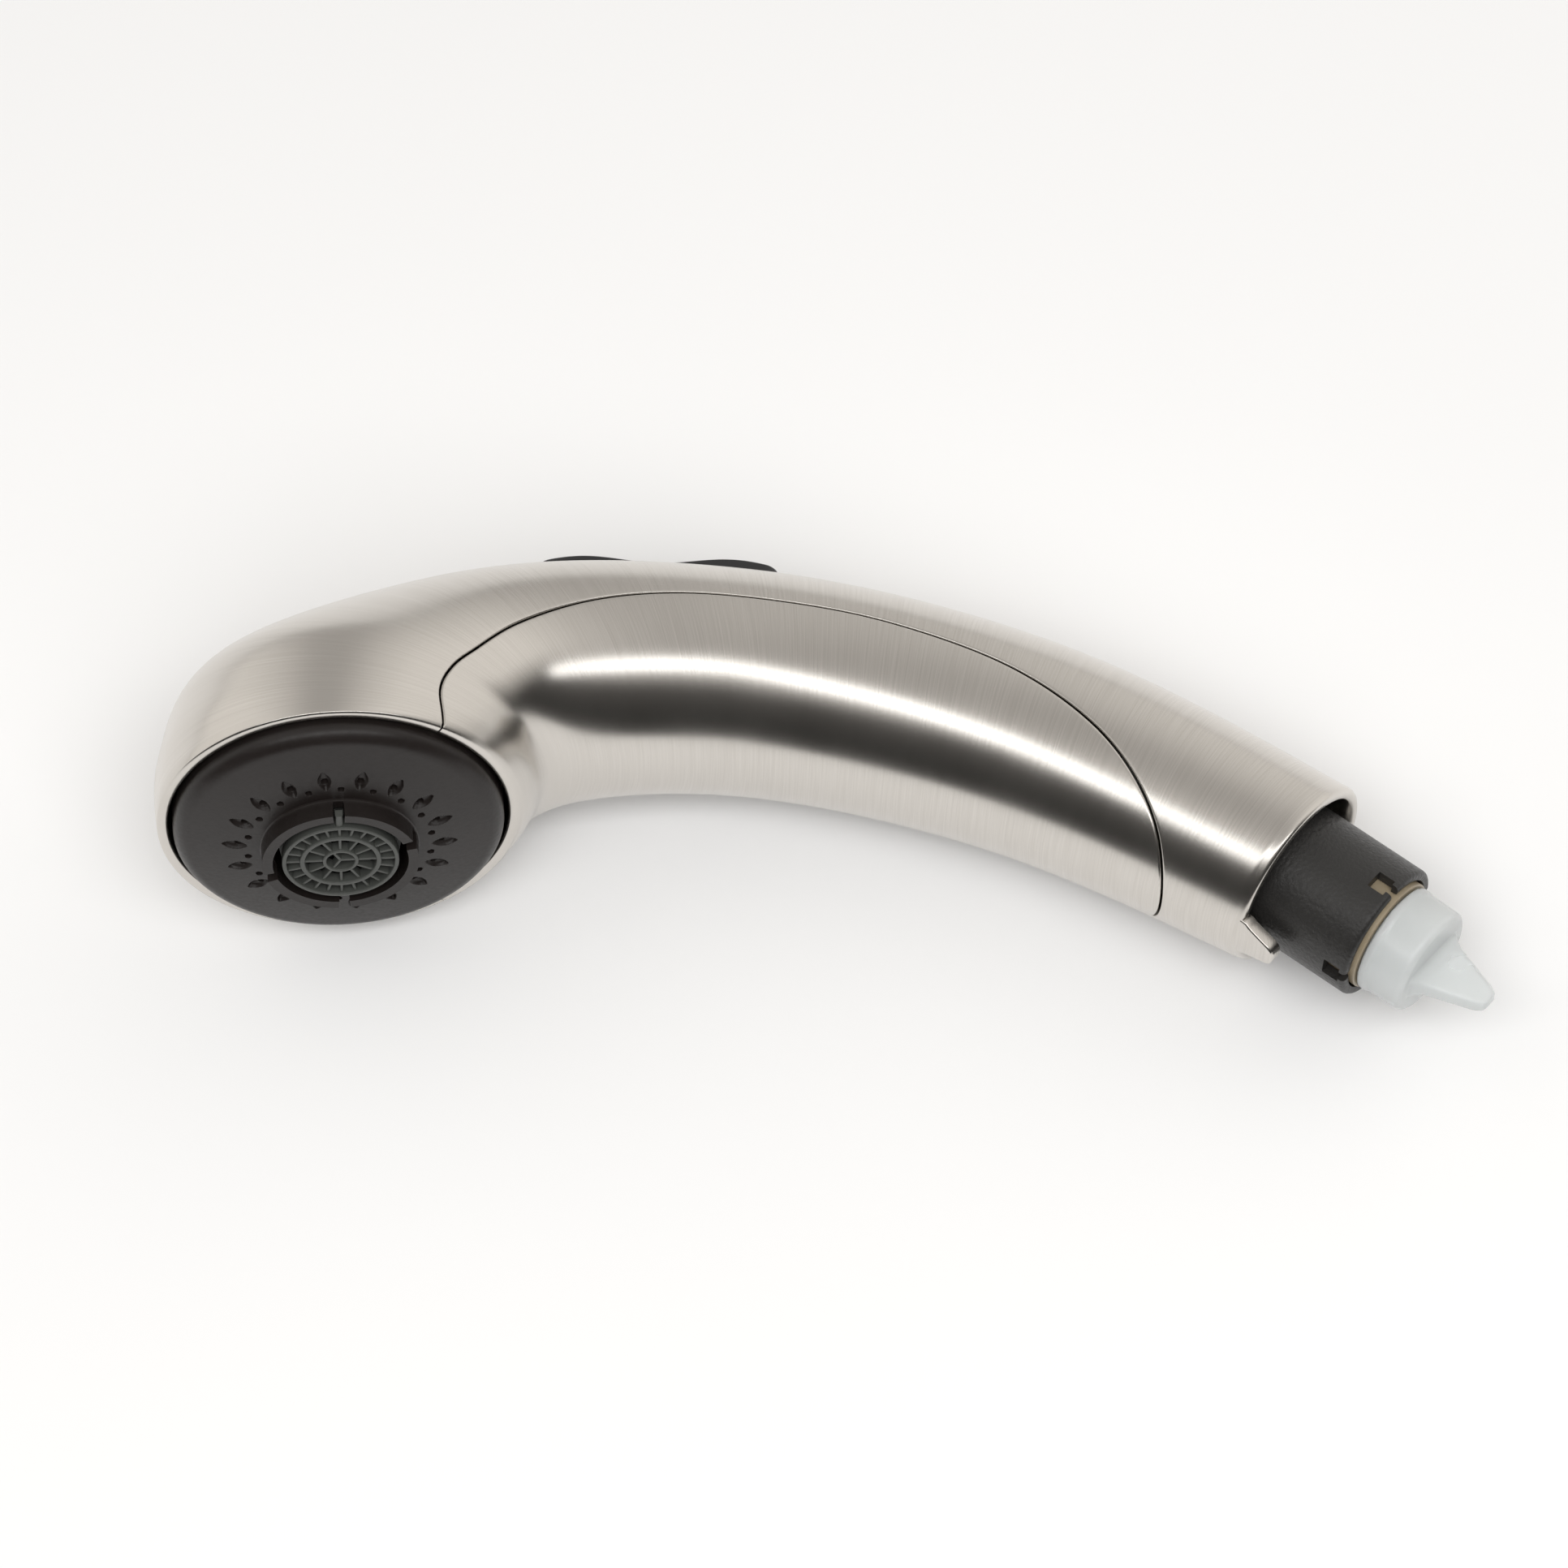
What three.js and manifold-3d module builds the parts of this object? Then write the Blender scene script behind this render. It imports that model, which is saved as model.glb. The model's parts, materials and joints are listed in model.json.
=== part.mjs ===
// The spray head of a pull-out kitchen tap, lying on its side. Millimetres, +Z up.
//
// Wand frame: the origin is the centre of the round spray rim, +x runs towards the hose
// inlet, +y away from the spray and +z out of the side that faces up.
import * as THREE from "three";
import { mergeVertices } from "three/addons/utils/BufferGeometryUtils.js";
import Module from "manifold-3d";

const wasm = await Module();
wasm.setup();

// ---------------------------------------------------------------- driving dimensions

const degree = Math.PI / 180;
const gap = 0.3; // between pieces that touch

const wall = 2.0; // shell thickness
const rimRadius = 29.2; // outside of the spray rim
const gripCentre = [38.5, -139]; // the grip bends about this point
const tailAngle = 44; // where the grip ends, in degrees round that bend
const tailRadius = 16.35; // outside of the round inlet end

const faceRadius = 26.3; // black spray disc
const faceEdgeHeight = 1.2; // disc's edge, ahead of the rim
const domeRadius = 60; // the disc bulges as part of a sphere
const collarRadius = 12.6;
const collarBore = 10.9;
const collarHeight = 8.8; // ahead of the rim
const gridRadius = 9.4; // aerator grid
const gridHeight = 8.2;
const keyAngle = 90; // the grid's key and its notch, in degrees round the collar
const outerNozzleRing = 16.8;
const innerNozzleRing = 14.9;
const nozzlesPerRing = 18;

const rockerAngle = 5; // the rocker's middle, in degrees round the bend
const rockerLength = 40;
const rockerWidth = 17;
const rockerPivotDepth = 8; // below the back of the grip
const valveDepth = 20; // axis of the diverter valve below the back of the grip

const sleeveRadius = 11.7;
const sleeveBore = 10.0;
const sleeveReach = 17; // beyond the shell's end
const socketRadius = 9.7;
const socketBore = 8.3; // hose thread, 3/8 inch
const capRadius = 9.45;

const restPan = -1.89 * degree; // how the wand lies: turned about +Z,
const restTilt = 6.32 * degree; // inlet end low,
const restRoll = -9.54 * degree; // and rolled until the back of the grip touches down

// ---------------------------------------------------------------- solids and shapes

function solidOf(geometry) {
  const bare = new THREE.BufferGeometry();
  bare.setAttribute("position", geometry.getAttribute("position"));
  bare.setIndex(geometry.index);
  const merged = mergeVertices(bare, 1e-4);
  const mesh = { numProp: 3, vertProperties: merged.attributes.position.array };
  mesh.triVerts = new Uint32Array(merged.index.array);
  return new wasm.Manifold(new wasm.Mesh(mesh));
}

function geometryOf(solid) {
  const mesh = solid.getMesh();
  const geometry = new THREE.BufferGeometry();
  geometry.setAttribute("position", new THREE.BufferAttribute(mesh.vertProperties, 3));
  geometry.setIndex(new THREE.BufferAttribute(mesh.triVerts, 1));
  geometry.computeVertexNormals();
  return geometry;
}

// The first shape, joined with or cut by the others.
function joined(...geometries) {
  return geometryOf(geometries.map(solidOf).reduce((all, next) => all.add(next)));
}

function cut(geometry, ...tools) {
  return geometryOf(tools.map(solidOf).reduce((left, tool) => left.subtract(tool), solidOf(geometry)));
}

// A closed outline of [radius, height] points turned about +Z.
function turned(outline, segments = 24) {
  const points = outline.map(([radius, height]) => new THREE.Vector2(radius, height));
  let area = 0;
  points.forEach((p, i) => (area += p.cross(points[(i + 1) % points.length])));
  if (area < 0) points.reverse();
  const touchesAxis = points.some((p) => p.x === 0);
  if (!touchesAxis) points.push(points[0].clone());
  while (touchesAxis && !(points[0].x === 0 && points.at(-1).x === 0)) points.push(points.shift());
  return new THREE.LatheGeometry(points, segments).rotateX(Math.PI / 2);
}

function ring(inner, outer, low, high, segments = 24) {
  return turned([[inner, low], [outer, low], [outer, high], [inner, high]], segments);
}

function rod(radius, low, high, segments = 16) {
  return turned([[0, low], [radius, low], [radius, high], [0, high]], segments);
}

function block(x0, x1, y0, y1, z0, z1) {
  const box = new THREE.BoxGeometry(x1 - x0, y1 - y0, z1 - z0);
  return box.translate((x0 + x1) / 2, (y0 + y1) / 2, (z0 + z1) / 2);
}

// A flat outline of [x, y] points, thick along z.
function slab(outline, low, high) {
  const shape = new THREE.Shape(outline.map(([x, y]) => new THREE.Vector2(x, y)));
  return new THREE.ExtrudeGeometry(shape, { depth: high - low, bevelEnabled: false }).translate(0, 0, low);
}

// A round pipe along a curve: a bore of 0 makes it solid.
function pipe(curve, radius, bore, steps, sides = 12) {
  const onCircle = (r, turn) => new THREE.Vector2(r * Math.cos(turn), r * Math.sin(turn));
  const circle = (r) => Array.from({ length: sides }, (_, k) => onCircle(r, (k / sides) * 2 * Math.PI));
  const shape = new THREE.Shape(circle(radius));
  if (bore > 0) shape.holes.push(new THREE.Path(circle(bore).reverse()));
  return new THREE.ExtrudeGeometry(shape, { steps, extrudePath: curve, curveSegments: sides });
}

// A value that runs smoothly through [place, value] knots.
function smooth(knots) {
  const last = knots.length - 1;
  const rise = (i) => (knots[i + 1][1] - knots[i][1]) / (knots[i + 1][0] - knots[i][0]);
  const slopes = knots.map((knot, i) => {
    if (i === 0 || i === last) return 0;
    const before = knot[0] - knots[i - 1][0];
    const after = knots[i + 1][0] - knot[0];
    return (rise(i - 1) * after + rise(i) * before) / (before + after);
  });
  slopes[0] = 1.5 * rise(0) - 0.5 * slopes[1];
  slopes[last] = 1.5 * rise(last - 1) - 0.5 * slopes[last - 1];
  return (place) => {
    let i = 0;
    while (i < last - 1 && place > knots[i + 1][0]) i += 1;
    const width = knots[i + 1][0] - knots[i][0];
    const u = (place - knots[i][0]) / width;
    const value = (2 * u ** 3 - 3 * u ** 2 + 1) * knots[i][1] + (3 * u ** 2 - 2 * u ** 3) * knots[i + 1][1];
    return value + width * ((u ** 3 - 2 * u ** 2 + u) * slopes[i] + (u ** 3 - u ** 2) * slopes[i + 1]);
  };
}

// ---------------------------------------------------------------- the wand's body

function onBend(radius, angle) {
  const turn = angle * degree;
  return [gripCentre[0] + radius * Math.sin(turn), gripCentre[1] + radius * Math.cos(turn)];
}

// Cross-sections from the spray rim to the inlet: share of the way, point on the back,
// point on the belly, and half the width.
const sections = [
  [0.0, [-rimRadius, 0], [rimRadius, 0], rimRadius],
  [0.1, [-28.8, 11.5], [31.4, 2.6], 29.5],
  [0.22, [-21.1, 26.3], [34.4, 6.7], 28.0],
  [0.36, [16.5, 43.1], [41.5, 7.3], 21.4],
  [0.55, onBend(184.4, 8), onBend(147.4, 11), 19.2],
  [0.78, onBend(182.9, 26), onBend(147.0, 27), 17.8],
  [1.0, onBend(182.3, tailAngle), onBend(149.6, tailAngle), tailRadius],
];
const tailMiddle = onBend((182.3 + 149.6) / 2, tailAngle);

const through = (pick) => smooth(sections.map((section) => [section[0], pick(section)]));
const backX = through((s) => s[1][0]);
const backY = through((s) => s[1][1]);
const bellyX = through((s) => s[2][0]);
const bellyY = through((s) => s[2][1]);
const halfWidth = through((s) => s[3]);

// A point of the body's surface, or of the surface that lies "inside" millimetres within it.
function bodyPoint(along, around, inside) {
  const back = new THREE.Vector2(backX(along), backY(along));
  const belly = new THREE.Vector2(bellyX(along), bellyY(along));
  const middle = back.clone().add(belly).multiplyScalar(0.5);
  const half = back.clone().sub(middle);
  half.multiplyScalar(1 - inside / half.length());
  const side = (halfWidth(along) - inside) * Math.sin(around);
  return [middle.x + half.x * Math.cos(around), middle.y + half.y * Math.cos(around), side];
}

// The hollow casing, open at the spray rim and at the inlet.
function casing() {
  const steps = 26;
  const sides = 28;
  const positions = [];
  const index = [];
  for (const inside of [0, wall]) {
    for (let i = 0; i <= steps; i += 1) {
      for (let j = 0; j < sides; j += 1) {
        positions.push(...bodyPoint(i / steps, (j / sides) * 2 * Math.PI, inside));
      }
    }
  }
  const at = (layer, i, j) => (layer * (steps + 1) + i) * sides + (j % sides);
  const quad = (a, b, c, d) => index.push(a, c, b, a, d, c);
  for (let j = 0; j < sides; j += 1) {
    for (let i = 0; i < steps; i += 1) {
      quad(at(0, i, j), at(0, i + 1, j), at(0, i + 1, j + 1), at(0, i, j + 1));
      quad(at(1, i, j), at(1, i, j + 1), at(1, i + 1, j + 1), at(1, i + 1, j));
    }
    quad(at(0, 0, j), at(0, 0, j + 1), at(1, 0, j + 1), at(1, 0, j));
    quad(at(0, steps, j), at(1, steps, j), at(1, steps, j + 1), at(0, steps, j + 1));
  }
  const geometry = new THREE.BufferGeometry();
  geometry.setAttribute("position", new THREE.Float32BufferAttribute(positions, 3));
  geometry.setIndex(index);
  return geometry;
}

// Everything on the belly side of the grip panel's seam, moved "inward" from the seam line.
function seamCutter(inward) {
  const seam = [
    [17.0, -20], [17.0, 2], [17.2, 7.5], [22.2, 15.0], [30.2, 22.4], [42.0, 27.4], [56.0, 28.8],
    [73.0, 26.7], [90.0, 21.9], [108.0, 12.6], [121.0, 0.4], [128.5, -13], [131.0, -26], [131.2, -50],
  ];
  const curve = new THREE.SplineCurve(seam.map(([x, y]) => new THREE.Vector2(x, y)));
  const steps = 44;
  const outline = Array.from({ length: steps + 1 }, (_, k) => {
    const point = curve.getPoint(k / steps);
    const along = curve.getTangent(k / steps);
    return [point.x + along.y * inward, point.y - along.x * inward];
  });
  const reach = 40;
  return slab(outline, -reach, reach);
}

// A tab on the inlet end that keys the wand's turn in the spout.
function locatingLug() {
  const root = 4.3;
  const tip = 2.0;
  const length = 6.5;
  const thickness = 1.8;
  const outline = [
    [-root, -3], [root, -3], [root, 0], [tip, length - 0.8],
    [1.2, length], [-1.2, length], [-tip, length - 0.8], [-root, 0],
  ];
  const lug = slab(outline, 0, thickness); // x across, y along the inlet axis, z outwards
  lug.rotateX(Math.PI / 2).rotateZ(Math.PI / 2); // across y, outwards -x, along z
  return lug.translate(-tailRadius + thickness + 0.1, 0, 0);
}

function rockerOpening() {
  const clearance = 0.5;
  const x = rockerLength / 2 + clearance;
  const y = rockerWidth / 2 + clearance;
  return block(-x, x, -y, y, -12, 6);
}

function mainShell() {
  const opening = rockerOpening().applyMatrix4(valveFrame.matrix);
  const lug = locatingLug().applyMatrix4(tailFrame.matrix);
  return joined(cut(casing(), seamCutter(-gap / 2), opening), lug);
}

function gripPanel() {
  return geometryOf(solidOf(casing()).intersect(solidOf(seamCutter(gap / 2))));
}

// ---------------------------------------------------------------- spray head: +Z is the way the water goes

const domeHeight = (radius) => {
  const drop = (r) => domeRadius - Math.sqrt(domeRadius ** 2 - r ** 2);
  return faceEdgeHeight + drop(faceRadius) - drop(radius);
};

function nozzleHoles() {
  const holes = [];
  for (let k = 0; k < nozzlesPerRing; k += 1) {
    const turn = (k / nozzlesPerRing) * 2 * Math.PI;
    const halfStep = Math.PI / nozzlesPerRing;
    holes.push(rod(0.9, -8, 12, 5).translate(outerNozzleRing, 0, 0).rotateZ(turn));
    holes.push(rod(0.6, -8, 12, 4).translate(innerNozzleRing, 0, 0).rotateZ(turn + halfStep));
  }
  return holes;
}

function collarNotches() {
  const halfWidth = 0.9;
  const angles = [18, keyAngle, 196, 272];
  return angles.map((angle) => {
    const notch = block(collarBore - 1, collarRadius + 1, -halfWidth, halfWidth, 6.2, collarHeight + 1);
    return notch.rotateZ(angle * degree);
  });
}

const screwRing = 23.8;
const screwAngles = [30, 150, 270];

function sprayFace() {
  const back = -2.6;
  const plate = 2.4;
  const outline = [
    [collarBore, 0.5], [collarBore, collarHeight], [collarRadius, collarHeight],
    [collarRadius, domeHeight(collarRadius)],
  ];
  for (let r = 15; r < 25; r += 3) outline.push([r, domeHeight(r)]);
  outline.push([25.3, faceEdgeHeight + 0.25], [26.1, 0.5], [faceRadius, -0.4], [faceRadius, back]);
  outline.push([22.4, back], [22.4, -0.6], [18, domeHeight(18) - plate], [collarRadius + 1, 0.5]);
  const screwHoles = screwAngles.map((angle) =>
    rod(1.3, back - 1, -0.8, 8).translate(screwRing, 0, 0).rotateZ(angle * degree),
  );
  return cut(turned(outline, 36), ...nozzleHoles(), ...collarNotches(), ...screwHoles);
}

// The aerator's outlet grid: three rings, spokes, and a key that sits in a collar notch.
function aeratorGrid() {
  const low = 6.0;
  const key = block(9.0, collarRadius - 0.5, -0.6, 0.6, low + 0.6, gridHeight - 0.4);
  const pieces = [
    ring(8.7, gridRadius, low, gridHeight, 24),
    ring(5.7, 6.6, low, gridHeight - 0.1, 24),
    ring(2.3, 2.9, low, gridHeight - 0.2, 12),
    key.rotateZ(keyAngle * degree),
  ];
  const addSpokes = (count, inner, outer) => {
    for (let k = 0; k < count; k += 1) {
      const spoke = block(inner, outer, -0.25, 0.25, low + 0.2, gridHeight - 0.6);
      pieces.push(spoke.rotateZ((k / count) * 2 * Math.PI));
    }
  };
  addSpokes(12, 2.5, 9.0);
  addSpokes(3, -0.2, 2.5);
  return joined(...pieces);
}

function aeratorHousing() {
  const outline = [
    [8.0, -3.0], [9.8, -3.0], [9.8, 4.6], [8.6, 4.6], [8.6, 5.6],
    [7.9, 5.6], [7.9, 4.0], [8.6, 4.0], [8.6, -2.2], [8.0, -2.2],
  ];
  return turned(outline, 24);
}

function aeratorScreen() {
  return turned([[0, 3.0], [4, 2.7], [8.2, 1.8], [8.2, 1.2], [4, 2.1], [0, 2.4]], 16);
}

function aeratorGasket() {
  return ring(6.4, 9.6, -4.6, -3.3, 16);
}

function faceSeal() {
  return ring(20.3, 22.0, -2.5, -1.2, 24);
}

// Splits the water: through the middle to the aerator, round it to the nozzles.
function headChamber() {
  const top = -15;
  const outline = [
    [0, top - 2], [22.2, top - 2], [22.2, -4.6], [25.4, -4.6], [25.4, -3.2], [20.2, -3.2], [20.2, top],
    [12.0, top], [12.0, -0.2], [10.3, -0.2], [10.3, -5.0], [6.4, -5.0], [6.4, top], [0, top],
  ];
  const streamPort = rod(3.7, top - 4, top + 1, 12);
  const sprayPort = rod(3.5, top - 4, top + 1, 12).translate(5, 15.5, 0);
  const screwHoles = screwAngles.map((angle) =>
    rod(1.4, -6, -2, 8).translate(screwRing, 0, 0).rotateZ(angle * degree),
  );
  return cut(turned(outline, 28), streamPort, sprayPort, ...screwHoles);
}

function chamberScrew() {
  const head = -4.6 - gap;
  return turned([[0, head - 1.4], [1.5, head - 1.4], [1.5, head], [1.0, head], [1.0, -1.2], [0, -1.2]], 8);
}

// ---------------------------------------------------------------- diverter valve and rocker
// Frame: origin on the back of the grip at the rocker's middle, +X towards the inlet, +Z outwards.

const sprayTubeStart = [-13, -7.9];

function alongX(geometry) {
  return geometry.rotateY(Math.PI / 2).translate(0, 0, -valveDepth);
}

function diverterBody() {
  const outline = [
    [3.7, -22], [7.5, -22], [7.5, 18], [5.8, 18], [5.8, 12],
    [4.2, 12], [4.2, 10.5], [5, 10.5], [5, -19], [3.7, -19],
  ];
  const lever = block(-4.5, 4.5, -3, 3, -16, -10);
  const port = rod(2.3, 4, 9, 10).rotateX(Math.PI / 2).translate(sprayTubeStart[0], 0, -valveDepth);
  return cut(alongX(turned(outline, 16)), lever, port);
}

// A hollow spool: two sealed lands, and a waist that the rocker's lever reaches into.
function diverterSpool() {
  const outline = [
    [1.0, -12], [4.6, -12], [4.6, -9.4], [3.9, -9.4], [3.9, -8.2], [4.6, -8.2], [4.6, -2.0], [1.8, -2.0],
    [1.8, 2.0], [4.6, 2.0], [4.6, 8.2], [3.9, 8.2], [3.9, 9.4], [1.0, 9.4],
  ];
  return alongX(turned(outline, 12));
}

function spoolSeal(place) {
  return alongX(ring(4.0, 4.85, place - 0.5, place + 0.5, 12));
}

// Two thumb humps with a saddle between them, on a hub with a lever that reaches the spool.
function rockerButton() {
  const hump = 13;
  const bend = 184.5;
  const end = rockerLength / 2;
  const top = (x) => -0.25 - 0.75 * Math.cos((Math.PI * x) / hump) - x ** 2 / (2 * bend);
  const outline = [[-end, -4.2], [end, -4.2]];
  const steps = 20;
  for (let k = 0; k <= steps; k += 1) {
    const x = end - (2 * end * k) / steps;
    outline.push([x, top(x)]);
  }
  const half = rockerWidth / 2;
  const pad = slab(outline, -half, half).rotateX(Math.PI / 2);
  const hub = rod(2.6, -half, half, 16).rotateX(Math.PI / 2).translate(0, 0, -rockerPivotDepth);
  const web = block(-2.4, 2.4, -half, half, -rockerPivotDepth, -4);
  const lever = block(-1.3, 1.3, -2.2, 2.2, -17.4, -rockerPivotDepth);
  const hole = rod(1.12, -half - 1, half + 1, 16).rotateX(Math.PI / 2).translate(0, 0, -rockerPivotDepth);
  return cut(joined(pad, hub, web, lever), hole);
}

function rockerPin() {
  return rod(1.0, -10.8, 10.8, 16).rotateX(Math.PI / 2).translate(0, 0, -rockerPivotDepth);
}

function rockerBracket() {
  const floor = block(-9, 9, -10.8, 10.8, -12.2, -11);
  const ears = [-1, 1].map((side) =>
    block(-2.2, 2.2, Math.min(9.0 * side, 10.8 * side), Math.max(9.0 * side, 10.8 * side), -11.5, -6.1),
  );
  const slot = block(-4.5, 4.5, -3, 3, -13, -10);
  const hole = rod(1.12, -12, 12, 16).rotateX(Math.PI / 2).translate(0, 0, -rockerPivotDepth);
  return cut(joined(floor, ...ears), slot, hole);
}

// A bowed leaf that holds the rocker in either position.
function detentSpring() {
  const thick = 0.4;
  const top = [[5.4, -10.3], [6.6, -9.2], [8.2, -9.0], [10.4, -9.6], [12.4, -10.4]];
  const under = top.map(([x, z]) => [x, z - thick]).reverse();
  return slab([...top, ...under], -2.5, 2.5).rotateX(Math.PI / 2);
}

// ---------------------------------------------------------------- water tubes, in the wand frame

function valvePoint(x, y, z) {
  return new THREE.Vector3(x, y, z).applyMatrix4(valveFrame.matrix);
}

function tailPoint(x, y, z) {
  return new THREE.Vector3(x, y, z).applyMatrix4(tailFrame.matrix);
}

function waterwayTube() {
  const curve = new THREE.CubicBezierCurve3(
    tailPoint(0, 0, -16.6),
    tailPoint(0, 0, -46),
    valvePoint(42, 0, -valveDepth),
    valvePoint(13.4, 0, -valveDepth),
  );
  return pipe(curve, 5.4, 3.8, 12, 10);
}

function streamTube() {
  const start = valvePoint(-20, 0, -valveDepth);
  const lead = valvePoint(-38, 0, -valveDepth);
  const approach = new THREE.Vector3(0, 30, 0);
  const curve = new THREE.CubicBezierCurve3(start, lead, approach, new THREE.Vector3(0, 15.5, 0));
  return pipe(curve, 3.3, 2.3, 10, 8);
}

function sprayTube() {
  const start = valvePoint(sprayTubeStart[0], sprayTubeStart[1], -valveDepth);
  const lead = start.clone().add(new THREE.Vector3(0, 0, 8));
  const approach = new THREE.Vector3(5, 31, 15.5);
  const curve = new THREE.CubicBezierCurve3(start, lead, approach, new THREE.Vector3(5, 15.5, 15.5));
  return pipe(curve, 2.9, 2.0, 12, 8);
}

// ---------------------------------------------------------------- hose inlet
// Frame: origin in the middle of the shell's end, +Z out along the hose, +X towards the back.

function inletSleeve() {
  const lip = 0.8;
  const outline = [
    [sleeveBore, -16], [12.7, -16], [12.7, -13], [sleeveRadius, -13], [sleeveRadius, sleeveReach - lip],
    [sleeveRadius - 0.3, sleeveReach - 0.2], [sleeveRadius - 0.9, sleeveReach], [sleeveBore, sleeveReach],
  ];
  const notches = [0, 90, 180, 270].flatMap((angle) => [
    block(8, 13, -0.9, 0.9, sleeveReach - 4, sleeveReach + 1).rotateZ(angle * degree),
    block(8, 13, -1.6, 1.6, sleeveReach - 4.6, sleeveReach - 1.6).rotateZ(angle * degree),
  ]);
  return cut(turned(outline, 28), ...notches);
}

function retainingRing() {
  return ring(sleeveRadius + gap, 13.1, -12.7, -11.5, 20);
}

// Takes the hose's nut in its outer bore and the check valves in its inner one.
function inletSocket() {
  const mouth = sleeveReach + 1.2;
  const outline = [
    [socketBore, mouth], [socketRadius, mouth], [socketRadius, -15], [6.9, -15], [6.9, -21], [5.7, -21],
    [5.7, -15.3], [3.6, -15.3], [3.6, -14.3], [6.5, -14.3], [6.5, 4], [socketBore, 4],
  ];
  return turned(outline, 20);
}

function waterwaySeal(place) {
  return ring(3.9, 5.3, place - 0.4, place + 0.4, 12);
}

function checkValveHousing() {
  const outline = [
    [6.2, -14], [6.2, 3], [3.2, 3], [3.2, 1.6], [4.8, 1.6], [4.8, -4.8], [3.0, -4.8], [3.0, -6.2],
    [4.8, -6.2], [4.8, -12.6], [2.2, -12.6], [2.2, -14],
  ];
  return turned(outline, 16);
}

const poppetSeats = [1.3, -6.5];

function checkPoppet(seat) {
  const disc = [[0, seat], [4.3, seat], [4.3, seat - 1]];
  const stem = [[1.0, seat - 1], [1.0, seat - 4], [0, seat - 4]];
  return turned([...disc, ...stem], 10);
}

function checkSpring(seat) {
  const turns = 3.5;
  const high = seat - 1.6;
  const low = seat - 5.4;
  const radius = 2.9;
  const stepsPerTurn = 8;
  const points = Array.from({ length: turns * stepsPerTurn + 1 }, (_, k) => {
    const turn = (k / stepsPerTurn) * 2 * Math.PI;
    const rise = (k / (turns * stepsPerTurn)) * (high - low);
    return new THREE.Vector3(radius * Math.cos(turn), radius * Math.sin(turn), low + rise);
  });
  return pipe(new THREE.CatmullRomCurve3(points), 0.35, 0, turns * stepsPerTurn, 4);
}

function strainerScreen() {
  return turned([[0, 4.9], [5, 4.75], [8.0, 4.4], [8.0, 4.0 + gap / 2], [5, 4.3], [0, 4.45]], 14);
}

function inletWasher() {
  return ring(5.2, 8.0, 5.0, 7.0, 16);
}

// A push-in cap that keeps dirt out of the inlet: a hollow plug, a drum and a pull tab.
function transportCap() {
  const seat = sleeveReach + 1.2 + gap;
  const face = seat + 8;
  const outline = [
    [0, face - 1.4], [6.6, face - 1.4], [6.6, 12.4], [7.9, 12.4], [7.9, seat], [capRadius, seat],
    [capRadius - 0.3, face - 0.6], [capRadius - 0.8, face], [0, face],
  ];
  const tab = [
    [-6.6, face - 0.6], [6.6, face - 0.6], [2.4, face + 10.6],
    [1.3, face + 11.5], [-1.3, face + 11.5], [-2.4, face + 10.6],
  ];
  return joined(turned(outline, 24), slab(tab, -2.2, 2.2).rotateX(Math.PI / 2));
}

// ---------------------------------------------------------------- the assembly

function frameOf(origin, ...axes) {
  const frame = new THREE.Group();
  frame.matrixAutoUpdate = false;
  frame.matrix.makeBasis(...axes.map((axis) => new THREE.Vector3(...axis)));
  frame.matrix.setPosition(new THREE.Vector3(...origin));
  return frame;
}

const tailTurn = tailAngle * degree;
const rockerTurn = rockerAngle * degree;
const headFrame = frameOf([0, 0, 0], [1, 0, 0], [0, 0, 1], [0, -1, 0]);
const tailFrame = frameOf(
  [...tailMiddle, 0],
  [Math.sin(tailTurn), Math.cos(tailTurn), 0],
  [0, 0, 1],
  [Math.cos(tailTurn), -Math.sin(tailTurn), 0],
);
const valveFrame = frameOf(
  [...onBend(184.5, rockerAngle), 0],
  [Math.cos(rockerTurn), -Math.sin(rockerTurn), 0],
  [0, 0, -1],
  [Math.sin(rockerTurn), Math.cos(rockerTurn), 0],
);
const wand = new THREE.Group();
wand.add(headFrame, valveFrame, tailFrame);

const brushedNickel = { color: 0xb9b4aa, roughness: 0.32, metalness: 1 };
const blackPlastic = { color: 0x2b2827, roughness: 0.55, metalness: 0 };
const greyPlastic = { color: 0x6b706b, roughness: 0.5, metalness: 0 };
const clearPlastic = { color: 0xe8ebea, roughness: 0.35, metalness: 0 };
const tanPlastic = { color: 0x9a8a70, roughness: 0.5, metalness: 0 };
const whitePlastic = { color: 0xd9d9d4, roughness: 0.45, metalness: 0 };
const blackRubber = { color: 0x1c1c1c, roughness: 0.8, metalness: 0 };
const steel = { color: 0xa8a9ab, roughness: 0.3, metalness: 1 };

function add(parent, name, geometry, finish) {
  const mesh = new THREE.Mesh(geometry, new THREE.MeshStandardMaterial(finish));
  mesh.name = name;
  parent.add(mesh);
  return mesh;
}

add(wand, "main_shell", mainShell(), brushedNickel);
add(wand, "grip_panel", gripPanel(), brushedNickel);
add(wand, "waterway_tube", waterwayTube(), whitePlastic);
add(wand, "stream_tube", streamTube(), whitePlastic);
add(wand, "spray_tube", sprayTube(), whitePlastic);

add(headFrame, "spray_face", sprayFace(), blackPlastic);
add(headFrame, "aerator_grid", aeratorGrid(), greyPlastic);
add(headFrame, "aerator_housing", aeratorHousing(), greyPlastic);
add(headFrame, "aerator_screen", aeratorScreen(), steel);
add(headFrame, "aerator_gasket", aeratorGasket(), blackRubber);
add(headFrame, "face_seal", faceSeal(), blackRubber);
add(headFrame, "head_chamber", headChamber(), blackPlastic);
screwAngles.forEach((angle, k) => {
  const screw = add(headFrame, `chamber_screw_${k + 1}`, chamberScrew().translate(screwRing, 0, 0), steel);
  screw.rotation.z = angle * degree;
});

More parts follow.
